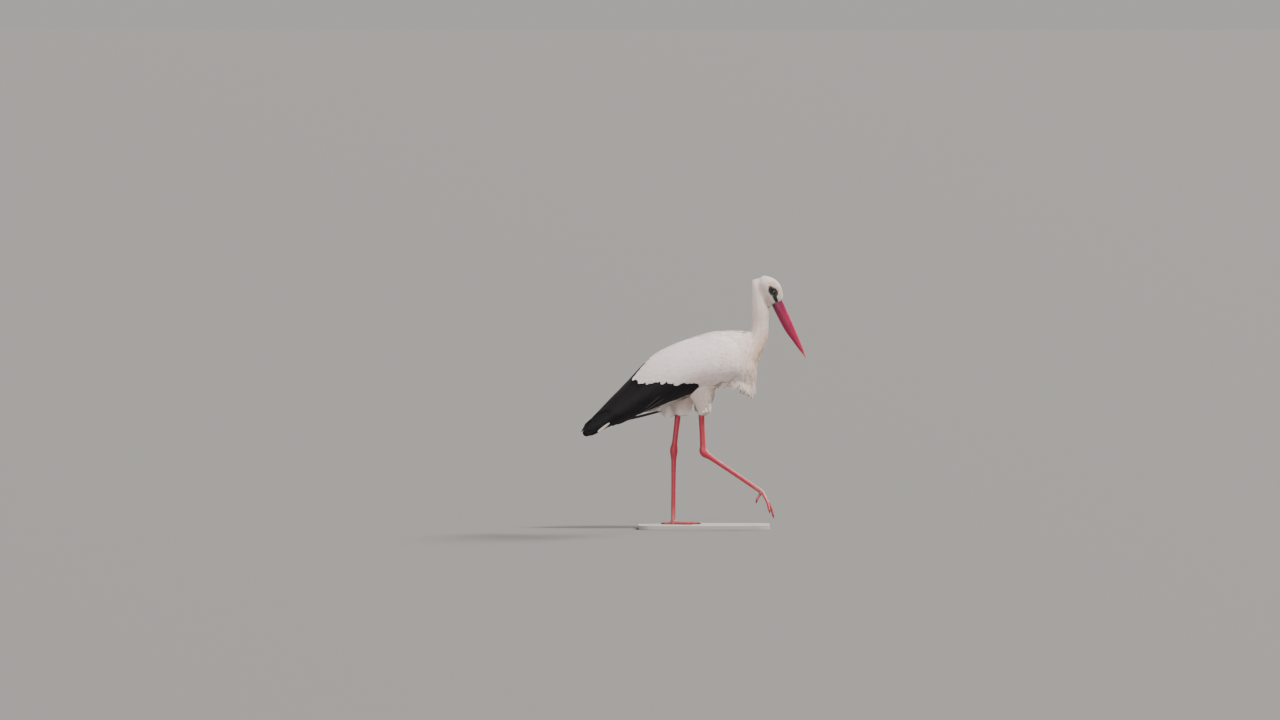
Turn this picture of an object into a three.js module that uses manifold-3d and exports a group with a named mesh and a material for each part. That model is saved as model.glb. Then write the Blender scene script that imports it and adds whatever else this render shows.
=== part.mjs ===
// An adult white stork at life size, walking: it stands on its left foot, and its right leg swings forward.
// A flat base under the foot holds it up. Millimetres. +X is forward, +Y is the bird's left and +Z is up.
// The origin is under the base, below the middle of the model. The bird's stations are drawn with its sole at
// zero. It is modelled whole, with its plumage, and then parted into named solids by thin cuts.
import * as THREE from "three";
import { mergeVertices } from "three/addons/utils/BufferGeometryUtils.js";
import Module from "manifold-3d";

const wasm = await Module();
wasm.setup();

// ---------- driving dimensions ----------
const GAP = 0.4; // left between two solids that meet
// The flat base, whose middle lies a little ahead of the bird's x = 0.
const STAND = { length: 400, width: 220, thickness: 12, corner: 36, middle: 32 };
const BILL_LENGTH = 190;
const BILL_SLOPE = THREE.MathUtils.degToRad(62); // how far the bill points below the horizontal
const BILL_BASE = [257, 676]; // x and z of the middle of the bill's base
const EYE = { along: 35, up: 4, side: 19, radius: 7.6 }; // in the head's own frame
const TOES = {
  inner: { length: 62, turn: -30 }, // degrees from straight ahead, outwards
  middle: { length: 78, turn: 0 },
  outer: { length: 68, turn: 31 },
  hind: { length: 30, turn: 172 },
};
const TOE_RADIUS = 4.9;
const CLAW_LENGTH = 10;
const SOLE_PRESSED = 0.7; // how much of each toe's round underside is pressed flat

const finish = (color, roughness) => new THREE.MeshStandardMaterial({ color, roughness, metalness: 0 });
const plumage = finish(0xe9e2dc, 0.8);
const darkPlumage = finish(0x17161a, 0.55);
const bareSkin = finish(0xb4283c, 0.5);
const billHorn = finish(0xb21238, 0.35);
const clawHorn = finish(0x3a2a2a, 0.4);
const eyeball = finish(0x14100e, 0.08);
const standPaint = finish(0x8a847c, 0.6);

// ---------- stations ----------
// Along the trunk: x, height of the top, height of the bottom, half width.
const TRUNK = [
  [191, 497, 452, 5],
  [186, 540, 432, 28],
  [168, 588, 414, 52],
  [122, 593, 411, 74],
  [70, 589, 408, 85],
  [18, 574, 398, 88],
  [-40, 552, 378, 84],
  [-100, 520, 354, 72],
  [-150, 474, 347, 52],
  [-200, 420, 336, 36],
];
// The tail's feathers, under the wing tips: x, y, z, half depth, half width.
const TAIL = [
  [-150, 0, 392, 22, 30],
  [-195, 0, 362, 14, 34],
  [-245, 0, 322, 6, 37],
  [-300, 0, 278, 1.6, 38],
];
// The outer faces of the two folded wings, taken together.
const WINGS = [
  [158, 540, 452, 34],
  [146, 562, 432, 66],
  [118, 584, 415, 86],
  [70, 590, 400, 97],
  [20, 578, 390, 101],
  [-40, 558, 366, 99],
  [-100, 531, 346, 90],
  [-150, 497, 328, 76],
  [-200, 445, 306, 60],
  [-250, 392, 286, 45],
  [-300, 339, 268, 31],
  [-334, 306, 262, 17],
  [-346, 284, 266, 4],
];
// The lower edge of a folded wing from the tip forward, and then round the shoulder: x and z.
const WING_EDGE = [
  [-340, 262],
  [-300, 265],
  [-240, 299],
  [-190, 318],
  [-150, 340],
  [-90, 372],
  [-20, 390],
  [12, 424],
  [70, 434],
  [120, 450],
  [150, 474],
  [158, 510],
  [150, 548],
  [100, 572],
  [40, 592],
];
const WING_THICKNESS = { shoulder: 15, tip: 5 };
// The mantle, which shows between the two wings from above: x and half width.
const MANTLE = [
  [175, 66],
  [60, 30],
  [-75, 2],
];
// Along the head, from the bill's base to the nape: distance, top, bottom, half width, in the head's frame.
const HEAD = [
  [-4, 14.5, -15, 10],
  [4, 20, -23, 15],
  [20, 28.5, -30, 21.5],
  [40, 32.5, -33, 26],
  [60, 30, -34, 27],
  [77, 20, -28, 23.5],
  [89, 7, -16, 14],
  [94, -1, -9, 3],
];
// Along the bill from its base: distance, top, bottom, half width.
const BILL = [
  [-16, 14, -15, 11],
  [0, 15.5, -19, 12.2],
  [30, 13.5, -20.3, 11.4],
  [60, 11.4, -20.6, 10],
  [90, 9.2, -19.4, 8.4],
  [120, 6.4, -15, 6.6],
  [150, 3.4, -10.6, 4.6],
  [175, 0.6, -5.8, 2.6],
  [BILL_LENGTH, -1.4, -3.4, 0.8],
];
// Down the neck: x, y, z, half depth, half width.
const NECK = [
  [186, 0, 748, 8, 7],
  [190, 0, 733, 16, 15],
  [198, 0, 702, 25, 22],
  [203, 0, 660, 29.5, 24.5],
  [202, 0, 618, 27, 24],
  [199, 0, 580, 29.5, 28],
  [182, 0, 543, 35, 38],
  [157, 0, 512, 45, 52],
  [126, 0, 490, 60, 62],
];
// Each thigh with its feathers, down to the bare shank.
const THIGHS = {
  left: [
    [-20, 40, 440, 62, 38],
    [-34, 44, 396, 46, 32],
    [-37, 42, 364, 33, 25],
    [-38, 39, 344, 22, 18],
    [-48, 36, 328, 9.5, 9],
  ],
  right: [
    [20, -40, 440, 56, 38],
    [27, -44, 398, 42, 32],
    [28, -44, 368, 26, 23],
    [29, -43, 349, 19, 17],
    [24, -43, 334, 9.8, 9],
  ],
};
// Middles of the ankle joints and of the roots of the toes.
const ANKLES = { left: [-60, 24, 227], right: [29, -41, 221] };
const FOOT_ROOTS = { left: [-62, 8, 10], right: [208, -34, 100] };
// Pointed locks of long feathers that hang from the breast: x, y, z of each tip.
const BREAST_LOCKS = [
  [184, 2, 408],
  [179, 12, 386],
  [175, -16, 388],
  [158, 28, 394],
  [150, -32, 398],
  [132, 12, 402],
  [124, -22, 402],
  [128, 40, 410],
  [98, -8, 406],
];

// ---------- solids ----------
const point = (values) => new THREE.Vector3(...values);
const between = (from, to, share) => point(from).lerp(point(to), share).toArray();

const solidOf = (geometry) => {
  const bare = geometry.clone();
  bare.deleteAttribute("normal");
  bare.deleteAttribute("uv");
  const merged = mergeVertices(bare, 1e-4);
  return new wasm.Manifold(
    new wasm.Mesh({
      numProp: 3,
      vertProperties: merged.attributes.position.array,
      triVerts: new Uint32Array(merged.index.array),
    }),
  );
};

const geometryOf = (solid) => {
  const { vertProperties, triVerts } = solid.getMesh();
  const geometry = new THREE.BufferGeometry();
  geometry.setAttribute("position", new THREE.BufferAttribute(vertProperties, 3));
  geometry.setIndex(new THREE.BufferAttribute(triVerts, 1));
  geometry.computeVertexNormals();
  return geometry;
};

const joined = (solids) => solids.reduce((whole, solid) => whole.add(solid));
const largestBody = (solid) => solid.decompose().reduce((a, b) => (a.volume() > b.volume() ? a : b));

// Rows between the stations, on a smooth curve through them.
function smoothRows(stations, stepsBetween) {
  const rows = [];
  const last = stations.length - 1;
  for (let i = 0; i < last; i++) {
    const near = [i - 1, i, i + 1, i + 2].map((k) => THREE.MathUtils.clamp(k, 0, last));
    const [before, from, to, after] = near.map((k) => stations[k]);
    for (let step = 0; step < stepsBetween; step++) {
      const t = step / stepsBetween;
      rows.push(
        from.map((start, c) => {
          const [startSlope, endSlope] = [(to[c] - before[c]) / 2, (after[c] - start) / 2];
          const rise = to[c] - start;
          const [bend, twist] = [3 * rise - 2 * startSlope - endSlope, startSlope + endSlope - 2 * rise];
          return start + t * (startSlope + t * (bend + t * twist));
        }),
      );
    }
  }
  rows.push(stations[last]);
  return rows;
}

// A closed solid through rings of points, its faces turned outwards.
function loft(rings) {
  const [count, positions, faces] = [rings[0].length, [], []];
  rings.flat().forEach((corner) => positions.push(...corner.toArray()));
  const index = (ring, k) => ring * count + (k % count);
  for (let r = 0; r + 1 < rings.length; r++)
    for (let k = 0; k < count; k++) {
      const [a, b, c, d] = [index(r, k), index(r, k + 1), index(r + 1, k + 1), index(r + 1, k)];
      faces.push(a, b, c, a, c, d);
    }
  for (const ring of [0, rings.length - 1]) {
    const middle = positions.length / 3;
    const centre = rings[ring].reduce((sum, p) => sum.add(p), new THREE.Vector3()).divideScalar(count);
    positions.push(...centre.toArray());
    for (let k = 0; k < count; k++) {
      const edge = [index(ring, k), index(ring, k + 1)];
      faces.push(middle, ...(ring === 0 ? edge.reverse() : edge));
    }
  }
  const build = (order) => {
    const geometry = new THREE.BufferGeometry();
    geometry.setAttribute("position", new THREE.Float32BufferAttribute(positions, 3));
    geometry.setIndex(order);
    return solidOf(geometry);
  };
  const made = build(faces);
  return made.volume() > 0 ? made : build([...faces].reverse());
}

const WIDEST = 0.46; // how far up a section is widest, as a share of its height
const BODY_FRAME = { origin: point([0, 0, 0]), axis: point([1, 0, 0]), up: point([0, 0, 1]) };

// A solid of sections across a frame's axis: distance along it, top, bottom, half width.
function sections({ origin, axis, up }, stations, stepsBetween, sides) {
  const rings = smoothRows(stations, stepsBetween).map(([along, top, bottom, halfWidth]) => {
    const middle = bottom + (top - bottom) * WIDEST;
    return Array.from({ length: sides }, (_, k) => {
      const angle = (2 * Math.PI * k) / sides;
      const rise = Math.sin(angle) * (Math.sin(angle) > 0 ? top - middle : middle - bottom);
      const corner = origin.clone().addScaledVector(axis, along).addScaledVector(up, middle + rise);
      corner.y += halfWidth * Math.cos(angle);
      return corner;
    });
  });
  return loft(rings);
}

// A solid of oval sections across a bent path: x, y, z, half depth, half width.
function limb(stations, stepsBetween, sides) {
  const rows = smoothRows(stations, stepsBetween);
  const centres = rows.map((row) => point(row.slice(0, 3)));
  const rings = rows.map(([, , , depth, width], i) => {
    const ahead = centres[Math.min(i + 1, rows.length - 1)].clone();
    const tangent = ahead.sub(centres[Math.max(i - 1, 0)]).normalize();
    const side = new THREE.Vector3(0, 1, 0).addScaledVector(tangent, -tangent.y).normalize();
    const front = new THREE.Vector3().crossVectors(side, tangent);
    return Array.from({ length: sides }, (_, k) => {
      const angle = (2 * Math.PI * (k + 0.5)) / sides;
      const corner = centres[i].clone().addScaledVector(front, depth * Math.cos(angle));
      return corner.addScaledVector(side, width * Math.sin(angle));
    });
  });
  return loft(rings);
}

const box = (low, high) => {
  const size = high.map((v, i) => v - low[i]);
  return solidOf(new THREE.BoxGeometry(...size).translate(...between(low, high, 0.5)));
};

// Everything on one side of a plane, from half a gap past it.
function halfSpace({ at, facing }, turned = 1) {
  const reach = 1500;
  const geometry = new THREE.BoxGeometry(2 * reach, 2 * reach, 2 * reach).translate(0, 0, reach + GAP / 2);
  const direction = point(facing).multiplyScalar(turned).normalize();
  geometry.applyQuaternion(new THREE.Quaternion().setFromUnitVectors(new THREE.Vector3(0, 0, 1), direction));
  return solidOf(geometry.translate(...at));
}
const cutInTwo = (solid, plane) => [solid.intersect(halfSpace(plane)), solid.intersect(halfSpace(plane, -1))];

// An upright or level prism: the outline is drawn in two axes of the body and runs along the third.
function prism(outline, from, to, upright) {
  const shape = new THREE.Shape(outline.map(([u, v]) => new THREE.Vector2(u, v)));
  const geometry = new THREE.ExtrudeGeometry(shape, { depth: to - from, bevelEnabled: false });
  if (upright) return solidOf(geometry.translate(0, 0, from)); // x and y, along z
  return solidOf(geometry.rotateX(Math.PI / 2).translate(0, to, 0)); // x and z, along y
}

// ---------- head and bill ----------
const backwards = point([-Math.cos(BILL_SLOPE), 0, Math.sin(BILL_SLOPE)]);
const crownwards = point([Math.sin(BILL_SLOPE), 0, Math.cos(BILL_SLOPE)]);
const base = point([BILL_BASE[0], 0, BILL_BASE[1]]);
const headFrame = { origin: base, axis: backwards, up: crownwards };
const billFrame = { origin: base, axis: backwards.clone().negate(), up: crownwards };
const inHead = (along, up, side) =>
  base.clone().addScaledVector(backwards, along).addScaledVector(crownwards, up).add(point([0, side, 0]));

const grown = (stations) =>
  stations.map(([at, top, bottom, wide]) => [at, top + GAP, bottom - GAP, wide + GAP]);
const gape = inHead(10, -7, 0);
const mouthLine = inHead(-BILL_LENGTH, -2, 0).sub(gape);
const MOUTH_CUT = { at: gape.toArray(), facing: [-mouthLine.z, 0, mouthLine.x] };

const eyeGeometry = (side, grow) => {
  const middle = inHead(EYE.along, EYE.up, side * EYE.side);
  return new THREE.SphereGeometry(EYE.radius + grow, 10, 8).translate(...middle.toArray());
};

// ---------- wings ----------
// The hollow that the two wings arch over: their outer faces taken in by the wing's thickness, open below.
function hollow(extra) {
  const span = WINGS[0][0] - WINGS[WINGS.length - 1][0];
  const inner = WINGS.map(([x, top, bottom, halfWidth]) => {
    const toTip = (WINGS[0][0] - x) / span;
    const thickness = THREE.MathUtils.lerp(WING_THICKNESS.shoulder, WING_THICKNESS.tip, toTip ** 0.6) + extra;
    return [x, top - thickness, bottom - 60, Math.max(halfWidth - thickness, 1)];
  });
  inner[0][0] += 60;
  inner[inner.length - 1][0] -= 60;
  return sections(BODY_FRAME, inner, 1, 12);
}

const outwardsBy = (outline, grow) =>
  outline.map(([u, v], i) => {
    const before = outline[(i + outline.length - 1) % outline.length];
    const after = outline[(i + 1) % outline.length];
    const [du, dv] = [after[0] - before[0], after[1] - before[1]];
    const reach = grow / Math.hypot(du, dv);
    return [u + dv * reach, v - du * reach];
  });

const SKY = 640; // above the whole body
const wingOutline = [...WING_EDGE, [0, SKY], [-420, SKY], [-420, 262]];
const wingPrism = (side, grow) => {
  const [near, far] = [1.6 - grow, 200];
  const outline = outwardsBy(wingOutline, grow);
  return side > 0 ? prism(outline, near, far, false) : prism(outline, -far, -near, false);
};
const mantlePrism = (grow) => {
  const left = MANTLE.map(([x, half]) => [x, half + grow]);
  const right = MANTLE.map(([x, half]) => [x, -half - grow]).reverse();
  return prism([...left, ...right], 480, SKY, true);
};
const wingFaces = sections(BODY_FRAME, WINGS, 2, 22);
const [wingHollow, roomyHollow] = [hollow(0), hollow(GAP)];
const wingOf = (side) =>
  largestBody(wingFaces.intersect(wingPrism(side, 0)).subtract(wingHollow).subtract(mantlePrism(GAP)));
const wingRoom = (side) => wingPrism(side, GAP).subtract(roomyHollow).subtract(mantlePrism(0));

const COVERT_CUT = { at: [0, 0, 438], facing: [0, 0, 1] };
const PRIMARY_CUT = { at: [-150, 0, 483], facing: [-0.76, 0, 0.65] };

// ---------- plumage ----------
const breastLock = ([x, y, z]) =>
  limb([[x - 14, y * 0.9, 478, 17, 17], [x - 4, y, 440, 13, 13], [x, y, z, 2, 2]], 2, 6);
const ventLock = limb([[-62, 16, 396, 24, 30], [-74, 18, 352, 18, 20], [-80, 18, 318, 3, 3]], 2, 9);
const plumageWhole = joined([
  sections(BODY_FRAME, TRUNK, 2, 18),
  wingFaces.intersect(mantlePrism(0)),
  limb(TAIL, 2, 12),
  limb(NECK, 2, 12),
  sections(headFrame, HEAD, 2, 16),
  limb(THIGHS.left, 2, 12),
  limb(THIGHS.right, 2, 12),
  ventLock,
  ...BREAST_LOCKS.map(breastLock),
]);

const HEAD_CUT = { at: [203, 0, 699], facing: [0.82, 0, 0.57] };
const MID_NECK_CUT = { at: [202, 0, 622], facing: [0.05, 0, 1] };
const NECK_CUT = { at: [190, 0, 574], facing: [0.62, 0, 0.78] };
const TAIL_CUT = { at: [-178, 0, 372], facing: [-0.8, 0, -0.6] };
const PLUME_BOX = { low: [84, -80, 360], high: [230, 80, 430] };
const THIGH_BOXES = {
  left: { low: [-70, 3, 250], high: [20, 160, 372] },
  right: { low: [-12, -160, 250], high: [80, -3, 378] },
};
const boxOf = ({ low, high }, grow) => box(low.map((v) => v - grow), high.map((v) => v + grow));

const [aboveNeck, body] = cutInTwo(plumageWhole, NECK_CUT);
const [head, neck] = cutInTwo(aboveNeck, HEAD_CUT);
const [neckUpper, neckLower] = cutInTwo(neck, MID_NECK_CUT);
const [tailWhole, trunkWhole] = cutInTwo(body.subtract(wingRoom(1)).subtract(wingRoom(-1)), TAIL_CUT);
const trunk = [PLUME_BOX, THIGH_BOXES.left, THIGH_BOXES.right].reduce(
  (rest, bounds) => rest.subtract(boxOf(bounds, GAP)),
  trunkWhole,
);

// ---------- legs ----------
// A toe in its foot's own frame, from the foot's root outwards, with its underside on one level.
function toeRows({ length, turn }, fall, curl) {
  const heading = THREE.MathUtils.degToRad(turn);
  return [0, 0.3, 0.65, 1].map((share) => {
    const [out, droop] = [length * share, THREE.MathUtils.degToRad(curl * share)];
    const radius = TOE_RADIUS * (1 - 0.3 * share);
    const level = radius - SOLE_PRESSED - fall * (share > 0 ? 1 : 0.55);
    const reach = out * Math.cos(droop);
    const middle = [reach * Math.cos(heading), reach * Math.sin(heading), level - out * Math.sin(droop)];
    return [...middle, radius, radius * 1.05];
  });
}

// The claw that carries the toe on.
function clawRows(rows) {
  const [before, last] = rows.slice(-2).map((row) => point(row.slice(0, 3)));
  const onward = last.clone().sub(before).normalize();
  return [[GAP + 0.2, 2.8], [CLAW_LENGTH * 0.5, 2.3], [CLAW_LENGTH, 0.8]].map(([distance, radius]) => {
    const middle = last.clone().addScaledVector(onward, distance);
    return [middle.x, middle.y, middle.z - (rows[3][3] - radius) * 0.75, radius, radius];
  });
}

// The small web between the roots of two front toes.
function webRows([first, second], fall) {
  const [from, to] = [TOES[first].turn, TOES[second].turn].map(THREE.MathUtils.degToRad);
  const heading = (from + to) / 2;
  return [3, 12, 24].map((out) => {
    const spread = 2 + out * Math.sin((to - from) / 2) * 0.8;
    return [out * Math.cos(heading), out * Math.sin(heading), 3 - fall, 1.6, spread];
  });
}

function footOf(side, { pitch, curl, hindPitch }) {
  const root = FOOT_ROOTS[side];
  const outward = side === "left" ? 1 : -1;
  const fall = root[2] < 20 ? root[2] : 6; // from the root down to the sole
  const placed = (rows, turnDown) => {
    const turned = new THREE.Matrix4().makeRotationY(THREE.MathUtils.degToRad(turnDown));
    return rows.map(([x, y, z, depth, width]) => {
      const middle = point([x, y * outward, z]).applyMatrix4(turned).add(point(root));
      return [...middle.toArray(), depth, width];
    });
  };
  const toes = Object.entries(TOES).map(([name, toe]) => {
    const turnDown = name === "hind" ? hindPitch : pitch;
    const rows = toeRows(toe, fall, curl);
    const claw = limb(placed(clawRows(rows), turnDown), 1, 6);
    return { solid: limb(placed(rows, turnDown), 1, 7), claw, name };
  });
  const webPairs = [["inner", "middle"], ["middle", "outer"]];
  const webs = webPairs.map((pair) => limb(placed(webRows(pair, fall), pitch), 1, 6));
  const heel = [[0, 0, 8, 6.6, 6.4], [1, 0, 1, 8.4, 8.2], [1.5, 0, -fall - 0.5, 7, 7.6]];
  const cushion = limb(placed(heel, pitch), 1, 8);
  return { solid: joined([cushion, ...toes.map(({ solid }) => solid), ...webs]), toes };
}

// The bare leg: the shank down from the thigh, the swollen ankle, and the tarsus down to the foot.
function legOf(side, stance) {
  const thighEnd = THIGHS[side][THIGHS[side].length - 1].slice(0, 3);
  const [ankle, root] = [ANKLES[side], FOOT_ROOTS[side]];
  const onShank = (share) => between(thighEnd, ankle, share);
  const onTarsus = (share) => between(ankle, root, share);
  const bone = limb(
    [
      [...onShank(-0.1), 9.2, 7.8],
      [...onShank(0.1), 8.9, 7.4],
      [...onShank(0.45), 8.2, 6.6],
      [...onShank(0.8), 8.6, 7],
      [...onShank(0.95), 11.4, 9.8],
      [...onTarsus(0.03), 11.8, 10],
      [...onTarsus(0.09), 9.6, 8],
      [...onTarsus(0.18), 7.7, 6],
      [...onTarsus(0.55), 6.7, 5.3],
      [...onTarsus(0.9), 7, 5.9],
      [...onTarsus(1), 7.8, 7.4],
    ],
    1,
    12,
  );
  const foot = footOf(side, stance);
  const direction = (from, to) => point(to).sub(point(from)).toArray();
  const thighCut = { at: thighEnd, facing: direction(thighEnd, ankle) };
  const ankleCut = { at: onShank(0.9), facing: direction(thighEnd, ankle) };
  const footCut = { at: onTarsus(0.95), facing: direction(ankle, root) };
  const [, thigh] = cutInTwo(largestBody(trunkWhole.intersect(boxOf(THIGH_BOXES[side], 0))), thighCut);
  const [below] = cutInTwo(bone, thighCut);
  const [belowAnkle, shank] = cutInTwo(below, ankleCut);
  const [end, tarsus] = cutInTwo(belowAnkle, footCut);
  return { thigh, shank, tarsus: tarsus.subtract(foot.solid), foot: end.add(foot.solid), toes: foot.toes };
}

const legs = {
  left: legOf("left", { pitch: 0, curl: 0, hindPitch: 0 }),
  right: legOf("right", { pitch: 46, curl: 16, hindPitch: -38 }),
};
const aboveGround = halfSpace({ at: [0, 0, -GAP / 2], facing: [0, 0, 1] });

// ---------- stand ----------
function standGeometry() {
  const [halfLength, halfWidth, corner] = [STAND.length / 2, STAND.width / 2, STAND.corner];
  const [toCorner, acrossCorner] = [halfLength - corner, halfWidth - corner];
  const outline = new THREE.Shape();
  outline.absarc(toCorner, acrossCorner, corner, 0, Math.PI / 2);
  outline.absarc(-toCorner, acrossCorner, corner, Math.PI / 2, Math.PI);
  outline.absarc(-toCorner, -acrossCorner, corner, Math.PI, 1.5 * Math.PI);
  outline.absarc(toCorner, -acrossCorner, corner, 1.5 * Math.PI, 2 * Math.PI);
  const settings = { depth: STAND.thickness, bevelEnabled: false, curveSegments: 6 };
  return new THREE.ExtrudeGeometry(outline, settings);
}

// ---------- assembly ----------
const stork = new THREE.Group();
const bird = new THREE.Group();
bird.position.z = STAND.thickness + GAP;
stork.add(bird);
function place(name, shape, material, parent = bird) {
  const mesh = new THREE.Mesh(shape.isBufferGeometry ? shape : geometryOf(shape), material);
  mesh.name = name;
  parent.add(mesh);
  return mesh;
}

const billRoom = sections(billFrame, grown(BILL), 1, 12);
const eyeRooms = joined([1, -1].map((side) => solidOf(eyeGeometry(side, GAP))));
place("head", head.subtract(billRoom).subtract(eyeRooms), plumage);
place("neck_upper", neckUpper, plumage);
place("neck_lower", neckLower, plumage);
place("trunk", trunk, plumage);
place("breast_plumes", trunkWhole.intersect(boxOf(PLUME_BOX, 0)), plumage);
place("tail", largestBody(tailWhole), plumage);

const [billUpper, billLower] = cutInTwo(sections(billFrame, BILL, 1, 12), MOUTH_CUT);
place("bill_upper", billUpper, billHorn);
place("bill_lower", billLower, billHorn);

for (const [name, side] of [["left", 1], ["right", -1]]) {
  place(`eye_${name}`, eyeGeometry(side, 0), eyeball);
  const [primaries, arm] = cutInTwo(wingOf(side), PRIMARY_CUT);
  const [coverts, secondaries] = cutInTwo(arm, COVERT_CUT);
  place(`wing_coverts_${name}`, coverts, plumage);
  place(`wing_secondaries_${name}`, secondaries, darkPlumage);
  place(`wing_primaries_${name}`, primaries, darkPlumage);
  place(`thigh_${name}`, legs[name].thigh, plumage);
  place(`shank_${name}`, legs[name].shank, bareSkin);
  place(`tarsus_${name}`, legs[name].tarsus, bareSkin);
  place(`foot_${name}`, legs[name].foot.intersect(aboveGround), bareSkin);
  for (const toe of legs[name].toes)
    place(`claw_${toe.name}_${name}`, toe.claw.intersect(aboveGround), clawHorn);
}

place("stand_base", standGeometry(), standPaint, stork).position.x = STAND.middle;

const middle = new THREE.Box3().setFromObject(stork).getCenter(new THREE.Vector3());
stork.position.set(-middle.x, -middle.y, 0);

export default stork;
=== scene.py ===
"""An adult white stork at life size, walking, on a flat base: its skin, plumage, bill, eyes and legs.

The bird is drawn in millimetres with its sole at zero, as the CAD stations are, and put() turns that into
the frame's metres. Every feather is one thin vane of mesh, which grows from a root on the skin and lies
along the body or hangs from it.
"""
import math

import bmesh
import bpy
import numpy as np
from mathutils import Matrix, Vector
from mathutils.bvhtree import BVHTree


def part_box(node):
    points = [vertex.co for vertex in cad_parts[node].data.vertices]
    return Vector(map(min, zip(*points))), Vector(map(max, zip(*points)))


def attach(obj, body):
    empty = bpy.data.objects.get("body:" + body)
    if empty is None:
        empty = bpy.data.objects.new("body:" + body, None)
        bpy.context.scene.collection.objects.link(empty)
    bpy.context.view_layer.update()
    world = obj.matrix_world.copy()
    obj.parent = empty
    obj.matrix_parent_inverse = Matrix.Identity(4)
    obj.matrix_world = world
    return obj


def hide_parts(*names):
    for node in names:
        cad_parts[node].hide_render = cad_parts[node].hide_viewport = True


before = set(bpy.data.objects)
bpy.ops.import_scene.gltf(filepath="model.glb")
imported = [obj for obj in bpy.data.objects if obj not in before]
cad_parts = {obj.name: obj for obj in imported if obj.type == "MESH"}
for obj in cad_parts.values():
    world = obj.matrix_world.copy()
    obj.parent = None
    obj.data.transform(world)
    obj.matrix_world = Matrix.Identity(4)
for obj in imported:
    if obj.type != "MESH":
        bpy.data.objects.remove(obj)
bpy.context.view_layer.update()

RANDOM = np.random.default_rng(7)
MM = 0.001
BASE_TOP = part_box("stand_base")[1].z / MM
SOLE_GAP = 0.4
ORIGIN = np.array([-0.7, 0.0, BASE_TOP + SOLE_GAP])  # the bird's own zero, in the frame

# ---------- driving sizes, as in the CAD ----------
BILL_LENGTH = 190.0
BILL_SLOPE = math.radians(62)
BILL_BASE = np.array([257.0, 0.0, 676.0])
BACK = np.array([-math.cos(BILL_SLOPE), 0.0, math.sin(BILL_SLOPE)])  # along the head, towards the nape
CROWN = np.array([math.sin(BILL_SLOPE), 0.0, math.cos(BILL_SLOPE)])
SIDE = np.array([0.0, 1.0, 0.0])
UP = np.array([0.0, 0.0, 1.0])
EYE = {"along": 35.0, "up": 4.0, "side": 19.0, "radius": 7.6}
# Along the bill: distance, top, bottom, half width.
BILL = [
    [-16, 14, -15, 11], [0, 15.5, -19, 12.2], [30, 13.5, -20.3, 11.4], [60, 11.4, -20.6, 10],
    [90, 9.2, -19.4, 8.4], [120, 6.4, -15, 6.6], [150, 3.4, -10.6, 4.6], [175, 0.6, -5.8, 2.6],
    [190, -1.4, -3.4, 0.8],
]
# The outer faces of the folded wings: x, top, bottom, half width.
WINGS = [
    [158, 540, 452, 34], [146, 562, 432, 66], [118, 584, 415, 86], [70, 590, 400, 97], [20, 578, 390, 101],
    [-40, 558, 366, 99], [-100, 531, 346, 90], [-150, 497, 328, 76], [-200, 445, 306, 60],
    [-250, 392, 286, 45], [-300, 339, 268, 31], [-334, 306, 262, 17], [-346, 284, 266, 4],
]
WIDEST = 0.46  # where the wing is widest, as a share of its height
# Lines of x and z: the folded wing's lower edge, and where the white coverts end over the black.
WING_EDGE = [
    [-340, 262], [-300, 265], [-240, 299], [-190, 318], [-150, 340], [-90, 372], [-20, 390], [12, 424],
    [70, 434], [120, 450], [150, 474],
]
COVERT_EDGE = [
    [-184, 446], [-163, 434], [-102, 436], [-72, 433], [-41, 433], [-11, 435], [12, 433],
]
MANTLE = [[-75, 2], [60, 30], [175, 66]]  # x and half width of the back between the wings
WING_ENDS = (-342, 152)
# The spine that the plumage flows along, from the bill over the head and down the neck to the tail: x and z.
SPINE = [
    [262, 660], [244, 700], [226, 722], [206, 722], [196, 700], [200, 660], [202, 610], [194, 560],
    [168, 520], [110, 500], [40, 490], [-40, 462], [-110, 425], [-180, 378], [-250, 322], [-310, 272],
]


def put(points):
    """Frame metres of points in the bird's own millimetres."""
    return (np.asarray(points, float) + ORIGIN) * MM


def unit(vectors):
    return vectors / np.maximum(np.linalg.norm(vectors, axis=-1, keepdims=True), 1e-9)


def between(start, end, share):
    return start + (end - start) * share


def smoothstep(low, high, value):
    t = np.clip((value - low) / (high - low), 0, 1)
    return t * t * (3 - 2 * t)


def on_line(line, places):
    """The height of a line of stations, each a place and a height, at places between them."""
    return np.interp(places, *zip(*line))


def smooth_rows(stations, count):
    """Rows on a smooth curve through the stations."""
    stations = np.asarray(stations, float)
    last = len(stations) - 1
    places = np.linspace(0, last, count)
    start = np.minimum(places.astype(int), last - 1)
    t = (places - start)[:, None]
    before, a, b, after = (stations[np.clip(start + k, 0, last)] for k in (-1, 0, 1, 2))
    slope_a, slope_b = (b - before) / 2, (after - a) / 2
    rise = b - a
    return a + t * (slope_a + t * (3 * rise - 2 * slope_a - slope_b + t * (slope_a + slope_b - 2 * rise)))


# ---------- meshes ----------
WELD = 1e-6


def add_object(name, data):
    obj = bpy.data.objects.new(name, data)
    bpy.context.scene.collection.objects.link(obj)
    return obj


def add_piece(name, mesh, material, replaced=()):
    """One piece of the looks, which rides on the only body."""
    obj = add_object(name, mesh)
    mesh.materials.clear()
    mesh.materials.append(material)
    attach(obj, "root")
    if replaced:
        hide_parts(*replaced)


def paint(mesh, tint):
    """Smooth faces, and a colour at each point."""
    mesh.polygons.foreach_set("use_smooth", np.ones(len(mesh.polygons), bool))
    colours = np.ones((len(mesh.vertices), 4), np.float32)
    colours[:, :3] = tint
    mesh.attributes.new("tint", "FLOAT_COLOR", "POINT").data.foreach_set("color", colours.ravel())


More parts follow.
